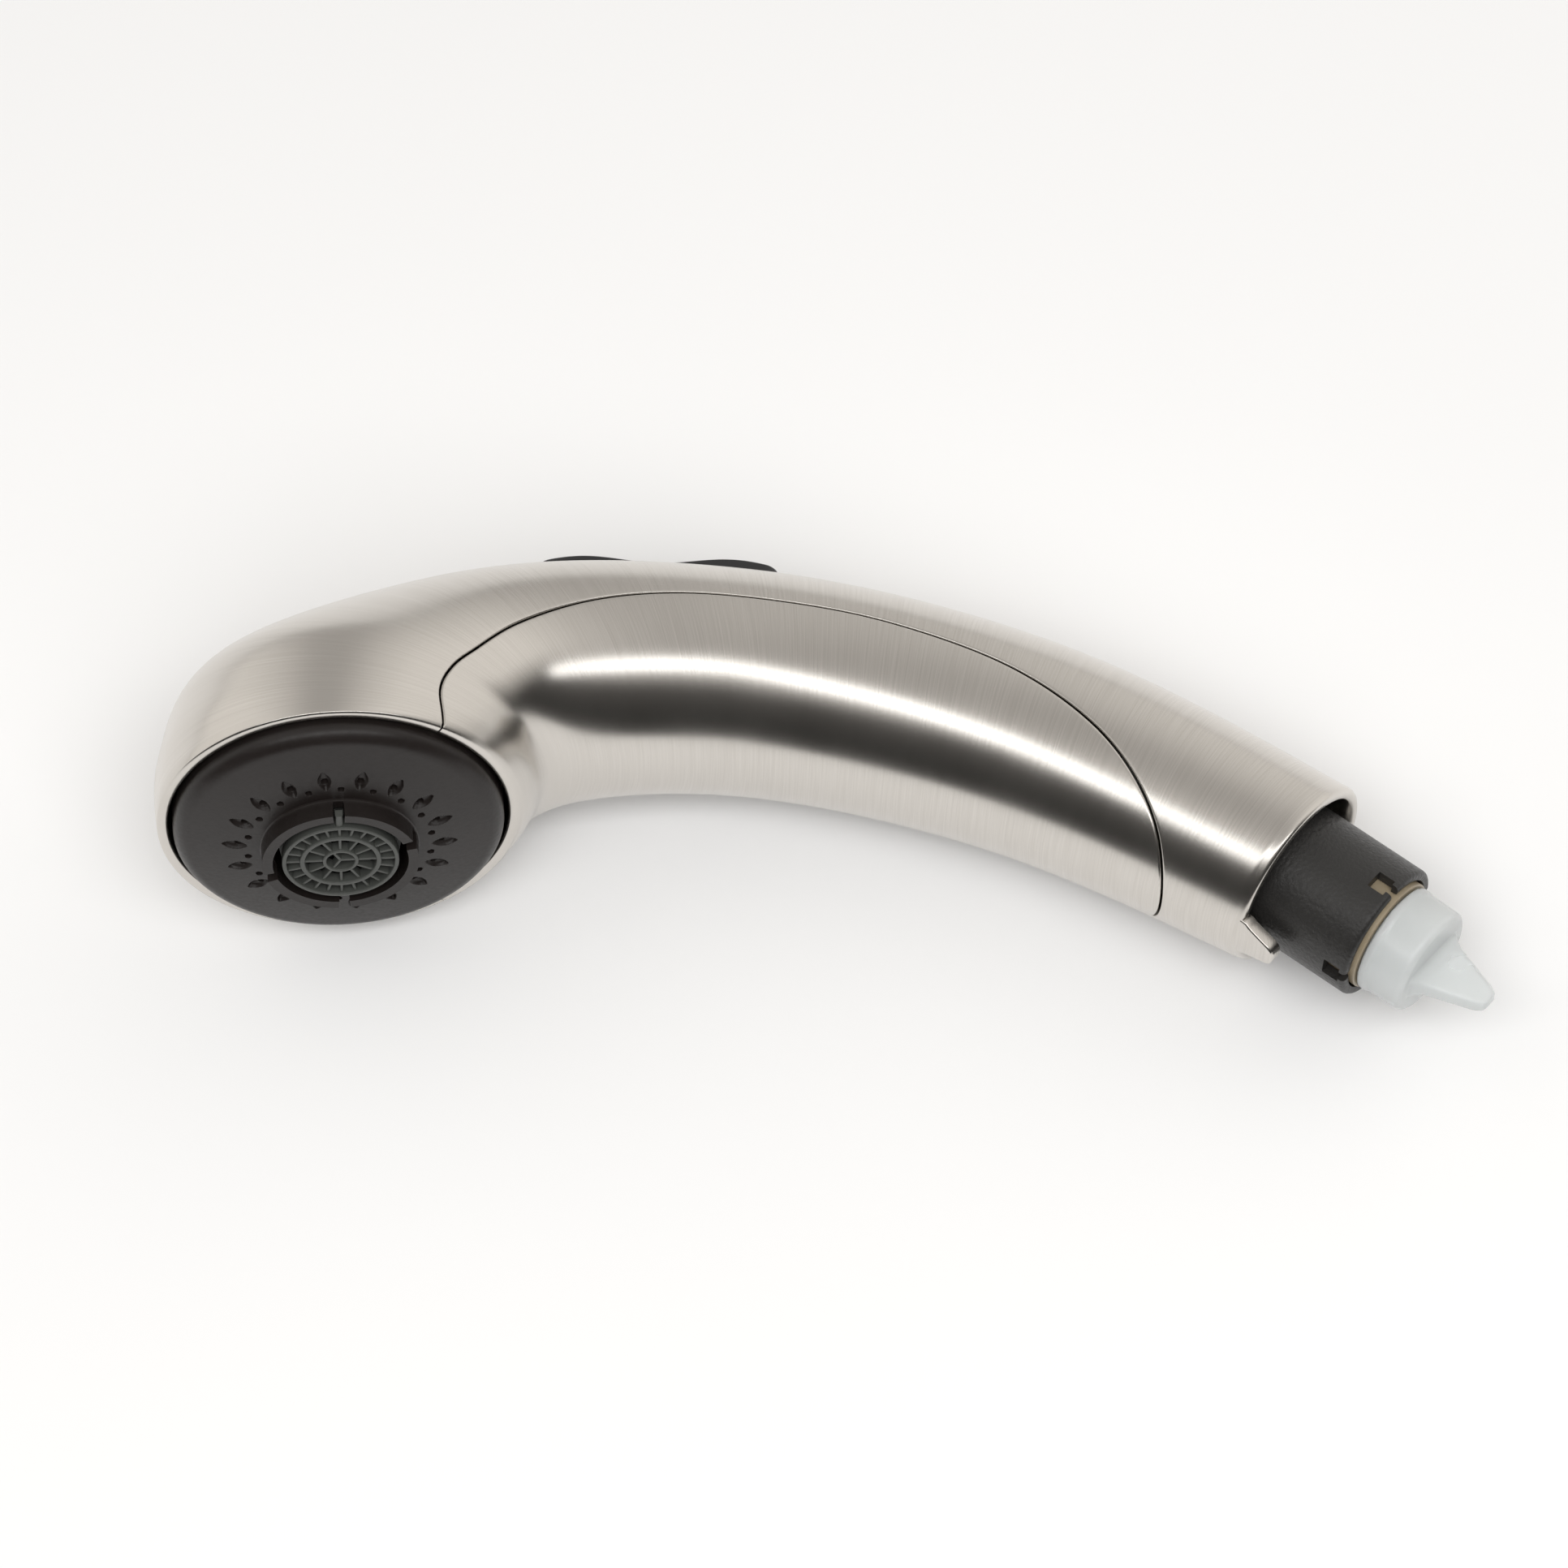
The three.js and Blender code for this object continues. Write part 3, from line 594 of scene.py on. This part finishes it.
def add_lug(skin):
    """The tab on the inlet end that keys the wand's turn in the spout."""
    root, tip, length = 4.3, 2.0, 6.5
    place = [-3, 0, 0.6, *np.linspace(1.2, length - 1.2, 8)]
    place += [length - 0.7, length - 0.35, length - 0.1, length]
    half = [root, root, root - 0.1, *np.linspace(root - 0.5, tip + 0.3, 8)]
    half += [tip, tip - 0.35, tip - 0.9, tip - 1.4]
    drop = [0] * 12 + [0.02, 0.15, 0.5]
    inside, outside = TAIL_RADIUS - 2.4, TAIL_RADIUS - 0.1
    rows = bar_rows([(w, inside, outside - d) for w, d in zip(half, drop)], 0.45)
    turn, radius = rows[..., 0] / TAIL_RADIUS, rows[..., 1]
    height = np.array(place)[:, None] + 0 * turn
    local = np.stack([-radius * np.cos(turn), radius * np.sin(turn), height], -1)
    skin.bar(local @ np.array(TAIL_FRAME.to_3x3()).T + np.array([*TAIL_MIDDLE, 0]))


# ------------------------------------------------------------------ the spray head

FACE_COLUMNS = 900
NOZZLE_DEPTH = 2.0
GRID_LOW = 6.0


def dome_height(radius):
    """The dome meets the rounded shoulder at the disc's edge without a crease."""
    sunk = math.sqrt((DOME_RADIUS - FACE_SHOULDER) ** 2 - (FACE_RADIUS - FACE_SHOULDER) ** 2)
    return FACE_EDGE - sunk + np.sqrt(DOME_RADIUS**2 - radius**2)


def ring_offset(angles, radius, turn):
    """How far round, in millimetres, each angle is from the nearest nozzle of a ring."""
    step = TURN / NOZZLES
    return ((angles - turn + step / 2) % step - step / 2) * radius


def leaf_depth(radius, angles):
    """The pointed hollow that runs outwards from each nozzle of the outer ring."""
    length, half, depth = 4.2, 1.0, 0.7
    share = (radius - OUTER_NOZZLES - 0.55) / (length / 2)
    width = half * np.clip(1 - share**2, 0, 1)
    across = np.abs(ring_offset(angles, radius, OUTER_TURN)) / np.maximum(width, 1e-6)
    bowl = np.clip(1.1 - across**2, 0, 1) ** 0.7
    return np.where(width > 0.02, depth * bowl * np.clip(4 * (1 - np.abs(share)), 0, 1), 0)


def hole_depth(radius, angles, ring, turn, bore):
    """The nozzle holes of a ring, with a small rounding at the mouth."""
    away = np.hypot(radius - ring, ring_offset(angles, ring, turn))
    return NOZZLE_DEPTH * np.clip((bore + 0.12 - away) / 0.22, 0, 1)


def face_profile():
    """The spray face's outer profile, from the collar's bore to the disc's edge."""
    section = [
        (COLLAR_BORE, 0.5), (COLLAR_BORE, COLLAR_HEIGHT),
        (COLLAR_RADIUS, COLLAR_HEIGHT), (COLLAR_RADIUS, 5.0),
    ]
    collar = rounded(section, 0.35)[5:15]
    foot = [(COLLAR_RADIUS, h) for h in np.linspace(8.2, 5.2, 7)] + [(COLLAR_RADIUS + 0.06, 5.0)]
    middle = FACE_RADIUS - FACE_SHOULDER
    turns = np.linspace(math.asin(middle / (DOME_RADIUS - FACE_SHOULDER)), TURN / 4, 14)
    edge = [(middle + FACE_SHOULDER * math.sin(a), FACE_EDGE + FACE_SHOULDER * math.cos(a)) for a in turns]
    dome = [(r, dome_height(r)) for r in np.arange(COLLAR_RADIUS + 0.25, edge[0][0] - 0.1, 0.13)]
    return np.array([(COLLAR_BORE, 0.5), *collar, *foot, *dome, *edge])


def spray_face():
    """The black disc with its two rings of nozzles and the notched collar round the aerator."""
    angles = np.arange(FACE_COLUMNS) * TURN / FACE_COLUMNS
    profile = face_profile()
    radius, height = profile[:, :1] + 0 * angles, profile[:, 1:] + 0 * angles
    on_dome = radius > COLLAR_RADIUS + 0.2
    hollow = np.maximum.reduce([
        leaf_depth(radius, angles),
        hole_depth(radius, angles, OUTER_NOZZLES, OUTER_TURN, 0.5),
        hole_depth(radius, angles, INNER_NOZZLES, INNER_TURN, 0.42),
    ])
    height = height - np.where(on_dome, hollow, 0)
    for degrees in COLLAR_NOTCHES:
        away = np.abs((angles - math.radians(degrees) + TURN / 2) % TURN - TURN / 2) * COLLAR_RADIUS
        floor = NOTCH_FLOOR + 3 * np.clip((away - 0.85) / 0.12, 0, 1)
        height = np.where(radius < COLLAR_RADIUS + 0.03, np.minimum(height, floor), height)
    skin = Skin()
    front = skin.add(np.stack([radius * np.cos(angles), radius * np.sin(angles), height], -1))
    back = np.array([(FACE_RADIUS, FACE_BACK), (22.4, FACE_BACK), (22.4, -0.6), (18, 1.6), (13.6, 0.5)])
    back = skin.add(turned_grid(*back.T, angles))
    skin.quads(np.concatenate([front, back, front[:1]]), closed=True)
    return skin.make("spray_face_skin", HEAD, 32)


def add_beam(skin, start, end, half, low, high, turn):
    """A bar with a rounded top, laid out from the axis at an angle."""
    rows = bar_rows([(half, low, high)] * 2, half * 0.6, across=4)
    local = np.stack([np.array([[start], [end]]) + 0 * rows[..., 0], rows[..., 0], rows[..., 1]], -1)
    c, s = math.cos(turn), math.sin(turn)
    skin.bar(local @ np.array([[c, s, 0], [-s, c, 0], [0, 0, 1]]))


def aerator_grid():
    """Three rings joined by thin spokes, with the key that lines the aerator up."""
    skin = Skin()
    for inner, outer, drop in ((8.7, GRID_RADIUS, 0), (5.75, 6.55, 0.1), (2.3, 2.9, 0.15)):
        high = GRID_HEIGHT - drop
        section = [(inner, GRID_LOW), (inner, high), (outer, high), (outer, GRID_LOW)]
        add_turned(skin, rounded(section, 0.22))
    for count, start, end in ((24, 6.4, 8.9), (12, 2.7, 5.9), (3, 0, 2.5)):
        for k in range(count):
            add_beam(skin, start, end, 0.24, GRID_LOW + 0.2, GRID_HEIGHT - 0.45, k * TURN / count)
    key_end, key_turn = COLLAR_RADIUS - 0.5, math.radians(KEY_ANGLE)
    add_beam(skin, 9.2, key_end, 0.6, GRID_LOW + 0.6, GRID_HEIGHT - 0.3, key_turn)
    return skin.make("aerator_grid_skin", HEAD, 35)


# ------------------------------------------------------------------ the rocker

def rocker_top(x):
    """The two humps of the pad, on top of the grip's own bend."""
    return -0.25 - 0.75 * np.cos(math.pi * x / ROCKER_HUMP) - x**2 / (2 * ROCKER_BEND)


def rocker():
    """The pad that is pressed at one end or the other, with its lever underneath."""
    end, corner, fillet = ROCKER_LENGTH / 2, 2.2, 0.5
    tips = np.array([0, 0.05, 0.2, 0.45, 0.8, 1.3, 1.8, 2.4])
    place = np.concatenate([tips - end, np.linspace(3 - end, end - 3, 60), end - tips[::-1]])
    from_end = end - np.abs(place)
    inset = corner - np.sqrt(corner**2 - np.clip(corner - from_end, 0, corner) ** 2)
    drop = fillet - np.sqrt(fillet**2 - np.clip(fillet - from_end, 0, fillet) ** 2)
    half = ROCKER_WIDTH / 2 - inset
    top = rocker_top(place) - drop
    rows = bar_rows([(w, -ROCKER_DEPTH, h) for w, h in zip(half, top)], fillet, crown=0.12, across=24)
    skin = Skin()
    skin.bar(np.stack([place[:, None] + 0 * rows[..., 0], rows[..., 0], rows[..., 1]], -1))
    add_lever(skin)
    return skin.make("rocker_skin", VALVE, 40)


def add_lever(skin):
    """The hub on the pin and the lever that moves the diverter's spool."""
    half, hub_radius, lever_end = ROCKER_WIDTH / 2, 2.6, -17.4
    turns = np.arange(48) * TURN / 48
    hub = np.stack([hub_radius * np.cos(turns), 0 * turns, hub_radius * np.sin(turns) - PIVOT_DEPTH], -1)
    skin.bar(np.stack([hub + (0, y, 0) for y in (-half, half)]))
    for long, wide, low, high in ((2.4, half, -PIVOT_DEPTH, -4.0), (1.3, 2.2, lever_end, -PIVOT_DEPTH)):
        corners = np.array([(-long, -wide, 0), (long, -wide, 0), (long, wide, 0), (-long, wide, 0)])
        skin.bar(np.stack([corners + (0, 0, low), corners + (0, 0, high)]))


# ------------------------------------------------------------------ the inlet end

def sleeve():
    """The black sleeve, with four T-shaped notches in its lip."""
    narrow, wide = 0.9, 1.7
    notch_end, bar_high, bar_low = (SLEEVE_REACH - depth for depth in (3.6, 1.2, 4.2))
    flange_radius, flange_low, flange_high = 12.7, -16, -13
    fillet = 0.8
    mouth = [SLEEVE_REACH - depth for depth in (fillet, 0.45, 0.2, 0.05, 0)]
    stations = [flange_low, flange_high - 0.01, flange_high, 0, 6, bar_low, notch_end, bar_high, *mouth]
    height = np.array(stations, float)
    turn_in = np.clip((height - SLEEVE_REACH + fillet) / fillet, 0, 1)
    straight = np.where(height < flange_high, flange_radius, SLEEVE_RADIUS)
    outer = straight - fillet * (1 - np.sqrt(1 - turn_in**2))
    inner = SLEEVE_BORE + 0.15 * turn_in**3
    inner_height = height - 0.1 * turn_in**3
    reach = np.array([-wide, -narrow, narrow, wide]) / SLEEVE_RADIUS
    edges = (np.arange(4)[:, None] * TURN / 4 + reach).ravel() % TURN
    angles = np.sort(np.concatenate([edges, (np.arange(160) + 0.5) * TURN / 160]))
    skin = Skin()
    outer_ids = skin.add(turned_grid(outer, height, angles))
    inner_ids = skin.add(turned_grid(inner, inner_height, angles))
    middle = (angles + np.append(angles[1:], angles[0] + TURN)) / 2
    away = np.abs((middle + TURN / 8) % (TURN / 4) - TURN / 8) * SLEEVE_RADIUS
    level = ((height[:-1] + height[1:]) / 2)[:, None]
    notch = (away < narrow) & (level > notch_end)
    notch |= (away < wide) & (level > bar_low) & (level < bar_high)
    for ids in (outer_ids, inner_ids):
        skin.quads(ids, closed=True, keep=~notch)
    for row in (0, -1):
        skin.quads(np.stack([outer_ids[row], inner_ids[row]]), closed=True, keep=~notch[[row]])
    wrapped = [np.concatenate([ids, ids[:, :1]], axis=1) for ids in (outer_ids, inner_ids)]
    skin.walls(*wrapped, notch)
    return skin.make("inlet_sleeve_skin", TAIL, 40)


def socket():
    """The tan hose socket: the hose's bore in front, the check valve's behind it, and a spigot."""
    outline = [
        (SOCKET_BORE, SOCKET_MOUTH), (SOCKET_RADIUS, SOCKET_MOUTH), (SOCKET_RADIUS, -15), (6.9, -15),
        (6.9, -21), (5.7, -21), (5.7, -15.3), (3.6, -15.3),
        (3.6, -14.3), (6.5, -14.3), (6.5, 4), (SOCKET_BORE, 4),
    ]
    skin = Skin()
    add_turned(skin, rounded(outline, 0.25))
    return skin.make("inlet_socket_skin", TAIL, 35)


def cap():
    """The milky push-in cap: a drum with a hollow plug below it and a wedge to pull it by."""
    face, plug_end, plug_bore, plug_radius = CAP_SEAT + 8, 12.4, 6.6, 7.9
    outline = [
        (0, face - 1.4), (plug_bore, face - 1.4), (plug_bore, plug_end), (plug_radius, plug_end),
        (plug_radius, CAP_SEAT), (CAP_RADIUS, CAP_SEAT), (CAP_RADIUS, CAP_SEAT + 1.3),
        (CAP_RADIUS - 0.25, CAP_SEAT + 1.5), (CAP_RADIUS - 0.35, face - 0.9),
        (CAP_RADIUS - 0.6, face - 0.3), (CAP_RADIUS - 1.2, face), (0, face),
    ]
    skin = Skin()
    add_turned(skin, outline, 120)
    wedge, round_tip, fillet = 11.5, 1.9, 2.5
    place = np.linspace(-0.7, wedge, 40)
    tip = 1 - np.sqrt(1 - np.clip((place - wedge + round_tip) / round_tip, 0, 1) ** 2)
    root = np.clip(1 - place / fillet, 0, 1) ** 2
    half = 5.7 - 3.6 * np.clip(place / 10.6, 0, 1) - 1.0 * tip + 0.7 * root
    thick = 1.5 - 0.3 * np.clip(place / 11, 0, 1) - 0.6 * tip + 0.9 * root
    rows = bar_rows([(w, -t, t) for w, t in zip(half, thick)], 0.6)
    skin.bar(np.stack([rows[..., 0], rows[..., 1], place[:, None] + face + 0 * rows[..., 0]], -1))
    piece = skin.make("transport_cap_skin", TAIL, 180)
    return melted(piece, 0.2, 14)


def melted(piece, grain, rounds):
    """The piece as one moulded surface: its parts are merged and its edges softened."""
    merge = piece.modifiers.new("merge", "REMESH")
    merge.mode = "VOXEL"
    merge.voxel_size = grain * MM
    soften = piece.modifiers.new("soften", "SMOOTH")
    soften.factor = 0.5
    soften.iterations = rounds
    bpy.context.view_layer.update()
    mesh = bpy.data.meshes.new_from_object(piece.evaluated_get(bpy.context.evaluated_depsgraph_get()))
    piece.modifiers.clear()
    piece.data = mesh
    mesh.polygons.foreach_set("use_smooth", [True] * len(mesh.polygons))
    return piece


# ------------------------------------------------------------------ materials

# Nearly all of a noise texture's values lie between these.
NOISE_LOW, NOISE_HIGH = 0.3, 0.7


class Finish:
    """A material made of nodes round one Principled shader."""

    def __init__(self, name):
        self.material = bpy.data.materials.new(name)
        self.material.use_nodes = True
        self.tree = self.material.node_tree
        self.shader = self.tree.nodes["Principled BSDF"]

    def node(self, kind, **inputs):
        made = self.tree.nodes.new(kind)
        for name, value in inputs.items():
            self.set(made, name.replace("_", " "), value)
        return made

    def set(self, node, name, value):
        """Links a socket into the node's input, or gives the input a constant."""
        if isinstance(value, bpy.types.NodeSocket):
            self.tree.links.new(value, node.inputs[name])
        else:
            node.inputs[name].default_value = value

    def noise(self, place, scale, detail=3.0):
        return self.node("ShaderNodeTexNoise", Vector=place, Scale=scale, Detail=detail).outputs["Fac"]

    def spread(self, value, low, high):
        """A number that runs from low to high as the noise does."""
        ends = {"From_Min": NOISE_LOW, "From_Max": NOISE_HIGH, "To_Min": low, "To_Max": high}
        return self.node("ShaderNodeMapRange", **ends, Value=value).outputs["Result"]

    def blend(self, value, dark, light):
        """A colour between two, as the noise says."""
        ramp = self.node("ShaderNodeValToRGB", Fac=value)
        stops = ramp.color_ramp.elements
        for stop, position, colour in zip(stops, (NOISE_LOW, NOISE_HIGH), (dark, light)):
            stop.position = position
            stop.color = (*colour, 1)
        return ramp.outputs["Color"]

    def bump(self, height, strength, distance):
        made = self.node("ShaderNodeBump", Height=height, Strength=strength, Distance=distance)
        return made.outputs["Normal"]

    def paint(self, **sockets):
        for name, value in sockets.items():
            self.set(self.shader, name.replace("_", " "), value)
        return self.material

    def place(self):
        return self.tree.nodes.new("ShaderNodeTexCoord").outputs["Object"]


def plastic(name, colour, rough, grain=1500, relief=0.02, mottle=0.08, **sockets):
    """Moulded plastic: a fine grain, and a colour and a gloss that vary a little."""
    made = Finish(name)
    place = made.place()
    cloud = made.noise(place, 140)
    fine = made.noise(place, grain, 2)
    dark = [c * (1 - mottle) for c in colour]
    light = [min(c * (1 + mottle), 1) for c in colour]
    return made.paint(
        Base_Color=made.blend(cloud, dark, light),
        Roughness=made.spread(fine, rough - 0.05, rough + 0.05),
        Normal=made.bump(fine, 1.0, relief * MM),
        **sockets,
    )


def satin_nickel():
    """Nickel brushed round the handle in fine lines."""
    made = Finish("satin_nickel")
    flow = made.node("ShaderNodeAttribute")
    flow.attribute_name = "flow"
    lines = made.node("ShaderNodeMapping", Vector=flow.outputs["Vector"], Scale=(5.0, 0.07, 0.07))
    brushed = made.noise(lines.outputs["Vector"], 1.0, 5)
    cloud = made.noise(made.place(), 60)
    return made.paint(
        Base_Color=made.blend(brushed, (0.62, 0.59, 0.55), (0.70, 0.67, 0.63)),
        Roughness=made.spread(cloud, 0.22, 0.26),
        Normal=made.bump(brushed, 0.1, 0.05 * MM),
        Metallic=1.0,
    )


def bare_steel():
    """The steel of the small inner parts."""
    made = Finish("steel")
    fine = made.noise(made.place(), 900)
    return made.paint(
        Base_Color=made.blend(fine, (0.52, 0.52, 0.53), (0.64, 0.64, 0.65)),
        Roughness=made.spread(fine, 0.28, 0.38),
        Metallic=1.0,
    )


def milky():
    """The cap's translucent plastic."""
    made = Finish("clear_plastic")
    cloud = made.noise(made.place(), 90)
    return made.paint(
        Base_Color=made.blend(cloud, (0.76, 0.79, 0.79), (0.82, 0.85, 0.85)),
        Roughness=made.spread(cloud, 0.20, 0.28),
        Transmission_Weight=0.35,
        Subsurface_Weight=0.5,
        Subsurface_Radius=(4 * MM, 4 * MM, 4 * MM),
        Subsurface_Scale=1.0,
        IOR=1.45,
    )


def painted_shade_wire():
    """Fine steel mesh coloured nearly black: painted shade for the aerator's deep voids, with lighter flecks as a
    painted glint on the wires.
    """
    made = Finish("painted_shade_wire")
    wires = made.noise(made.place(), 2500, 1)
    # Painted shade: the steel mesh is coloured nearly black so the voids behind the grid look shaded, and its
    # lighter flecks are a painted glint.
    return made.paint(
        Base_Color=made.blend(wires, (0.002, 0.002, 0.002), (0.02, 0.02, 0.019)),
        Roughness=made.spread(wires, 0.95, 0.8),
        Specular_IOR_Level=0.05,
    )


FINISHES = {
    "satin_nickel": satin_nickel(),
    "black_plastic": plastic("black_plastic", (0.014, 0.011, 0.010), 0.36, Specular_IOR_Level=0.4),
    "rocker_plastic": plastic("rocker_plastic", (0.018, 0.018, 0.019), 0.45),
    "sleeve_plastic": plastic("sleeve_plastic", (0.022, 0.021, 0.020), 0.42, relief=0.12),
    "grey_plastic": plastic("grey_plastic", (0.065, 0.068, 0.062), 0.45),
    "clear_plastic": milky(),
    "tan_plastic": plastic("tan_plastic", (0.30, 0.245, 0.165), 0.35, mottle=0.12),
    "white_plastic": plastic("white_plastic", (0.72, 0.72, 0.70), 0.45),
    "black_rubber": plastic("black_rubber", (0.02, 0.02, 0.02), 0.75),
    "steel": bare_steel(),
    # The screens' nearly black wire: painted shade in the aerator's voids.
    "painted_shade_wire": painted_shade_wire(),
}


def dress(thing, finish):
    """Gives a piece one of the finishes, in place of what it had."""
    thing.data.materials.clear()
    thing.data.materials.append(FINISHES[finish])


# ------------------------------------------------------------------ the pieces and what they ride on

# What builds each piece, the body that it rides on and the CAD node that it replaces.
PIECES = [
    (main_shell, "wand", "main_shell"),
    (grip_panel, "wand", "grip_panel"),
    (spray_face, "wand", "spray_face"),
    (aerator_grid, "wand", "aerator_grid"),
    (rocker, "rocker", "rocker_button"),
    (sleeve, "wand", "inlet_sleeve"),
    (socket, "wand", "inlet_socket"),
    (cap, "cap", "transport_cap"),
]

slots = {part["node"]: part["material_slot"] for part in frame["record"]["subparts"]}
for node, thing in frame["nodes"].items():
    dress(thing, slots[node])
# The screens get the nearly black wire, which paints the shade in the aerator's voids.
for node in ("aerator_screen", "strainer_screen"):
    dress(frame["nodes"][node], "painted_shade_wire")
for build, body, node in PIECES:
    piece = build()
    dress(piece, slots[node])
    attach(piece, body)
    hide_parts(node)


# ------------------------------------------------------------------ the studio

def floor(reach=4):
    """A plain pale sheet that the spray head lies on. reach is half its side, in metres."""
    mesh = bpy.data.meshes.new("floor")
    corners = [(x * reach, y * reach, 0) for x, y in ((-1, -1), (1, -1), (1, 1), (-1, 1))]
    mesh.from_pydata(corners, [], [(0, 1, 2, 3)])
    sheet = shown("floor", mesh, 30)
    made = Finish("floor")
    cloud = made.noise(made.place(), 3)
    sheet.data.materials.append(made.paint(
        Base_Color=made.blend(cloud, (0.90, 0.90, 0.90), (0.92, 0.92, 0.92)),
        Roughness=made.spread(cloud, 0.6, 0.7),
    ))


def softbox(name, azimuth, elevation, distance, size, power, mirrored=True):
    """A soft rectangular lamp that faces the spray head. mirrored: whether the metal shows it."""
    lamp = bpy.data.lights.new(name, "AREA")
    lamp.shape = "RECTANGLE"
    lamp.size, lamp.size_y = size
    lamp.energy = power
    turn, rise = math.radians(azimuth), math.radians(elevation)
    away = Vector((math.sin(turn) * math.cos(rise), -math.cos(turn) * math.cos(rise), math.sin(rise)))
    across = Vector((math.cos(turn), math.sin(turn), 0))
    holder = bpy.data.objects.new(name, lamp)
    holder.matrix_world = frame_matrix(away * distance, across, away.cross(across), away)
    holder.visible_glossy = mirrored
    bpy.context.scene.collection.objects.link(holder)


# Brightness of the room: by height in front, and by distance to the side behind.
FRONT_ROOM = [(0.001, 0.03), (0.35, 0.035), (0.75, 0.07), (0.93, 0.5), (0.999, 0.45)]
BACK_ROOM = [(0.001, 0.46), (0.12, 0.47), (0.35, 0.72), (0.6, 0.92), (0.999, 0.95)]


def room():
    """The room round the table: dark in front, grey behind and lighter to both sides."""
    world = bpy.data.worlds.new("room")
    world.use_nodes = True
    nodes, links = world.node_tree.nodes, world.node_tree.links
    split = nodes.new("ShaderNodeSeparateXYZ")
    links.new(nodes.new("ShaderNodeTexCoord").outputs["Generated"], split.inputs["Vector"])

    def ramp(value, stops):
        made = nodes.new("ShaderNodeValToRGB")
        links.new(value, made.inputs["Fac"])
        steps = made.color_ramp.elements
        for place, grey in stops:
            steps.new(place).color = (grey, grey * 0.97, grey * 0.93, 1)
        steps.remove(steps[0])
        steps.remove(steps[len(steps) - 1])
        return made.outputs["Color"]

    sideways = nodes.new("ShaderNodeMath")
    sideways.operation = "ABSOLUTE"
    links.new(split.outputs["X"], sideways.inputs[0])
    front = ramp(split.outputs["Z"], FRONT_ROOM)
    back = ramp(sideways.outputs["Value"], BACK_ROOM)
    share = nodes.new("ShaderNodeMapRange")
    share.inputs["From Min"].default_value = -0.25
    share.inputs["From Max"].default_value = 0.15
    links.new(split.outputs["Y"], share.inputs["Value"])
    mix = nodes.new("ShaderNodeMix")
    mix.data_type = "RGBA"
    # The node has same-named sockets for numbers, vectors and colours: these are the colour ones.
    factor, first, second, result = mix.inputs[0], mix.inputs[6], mix.inputs[7], mix.outputs[2]
    links.new(share.outputs["Result"], factor)
    links.new(front, first)
    links.new(back, second)
    links.new(result, nodes["Background"].inputs["Color"])
    bpy.context.scene.world = world


def camera():
    """The camera looks down at the spray head from one metre away, tilted a little to one side."""
    lens = bpy.data.cameras.new("camera")
    lens.lens = 141.6
    lens.sensor_width = 36
    lens.shift_x, lens.shift_y = -0.01157, 0.01018
    elevation, roll = math.radians(63.9), math.radians(6.96)
    back = Vector((0, -math.cos(elevation), math.sin(elevation)))
    level = Vector((1, 0, 0))
    raised = back.cross(level)
    right = math.cos(roll) * level - math.sin(roll) * raised
    up = math.sin(roll) * level + math.cos(roll) * raised
    aim = WAND @ Vector((0.075, 0, 0))
    holder = bpy.data.objects.new("camera", lens)
    holder.matrix_world = frame_matrix(aim + back, right, up, back)
    bpy.context.scene.collection.objects.link(holder)
    bpy.context.scene.camera = holder


floor()
room()
softbox("strip", 0, 73, 1.4, (2.2, 0.32), 5.0)
softbox("fill", 5, 58, 1.6, (1.5, 1.3), 17, mirrored=False)
camera()
bpy.context.scene.view_settings.view_transform = "Standard"
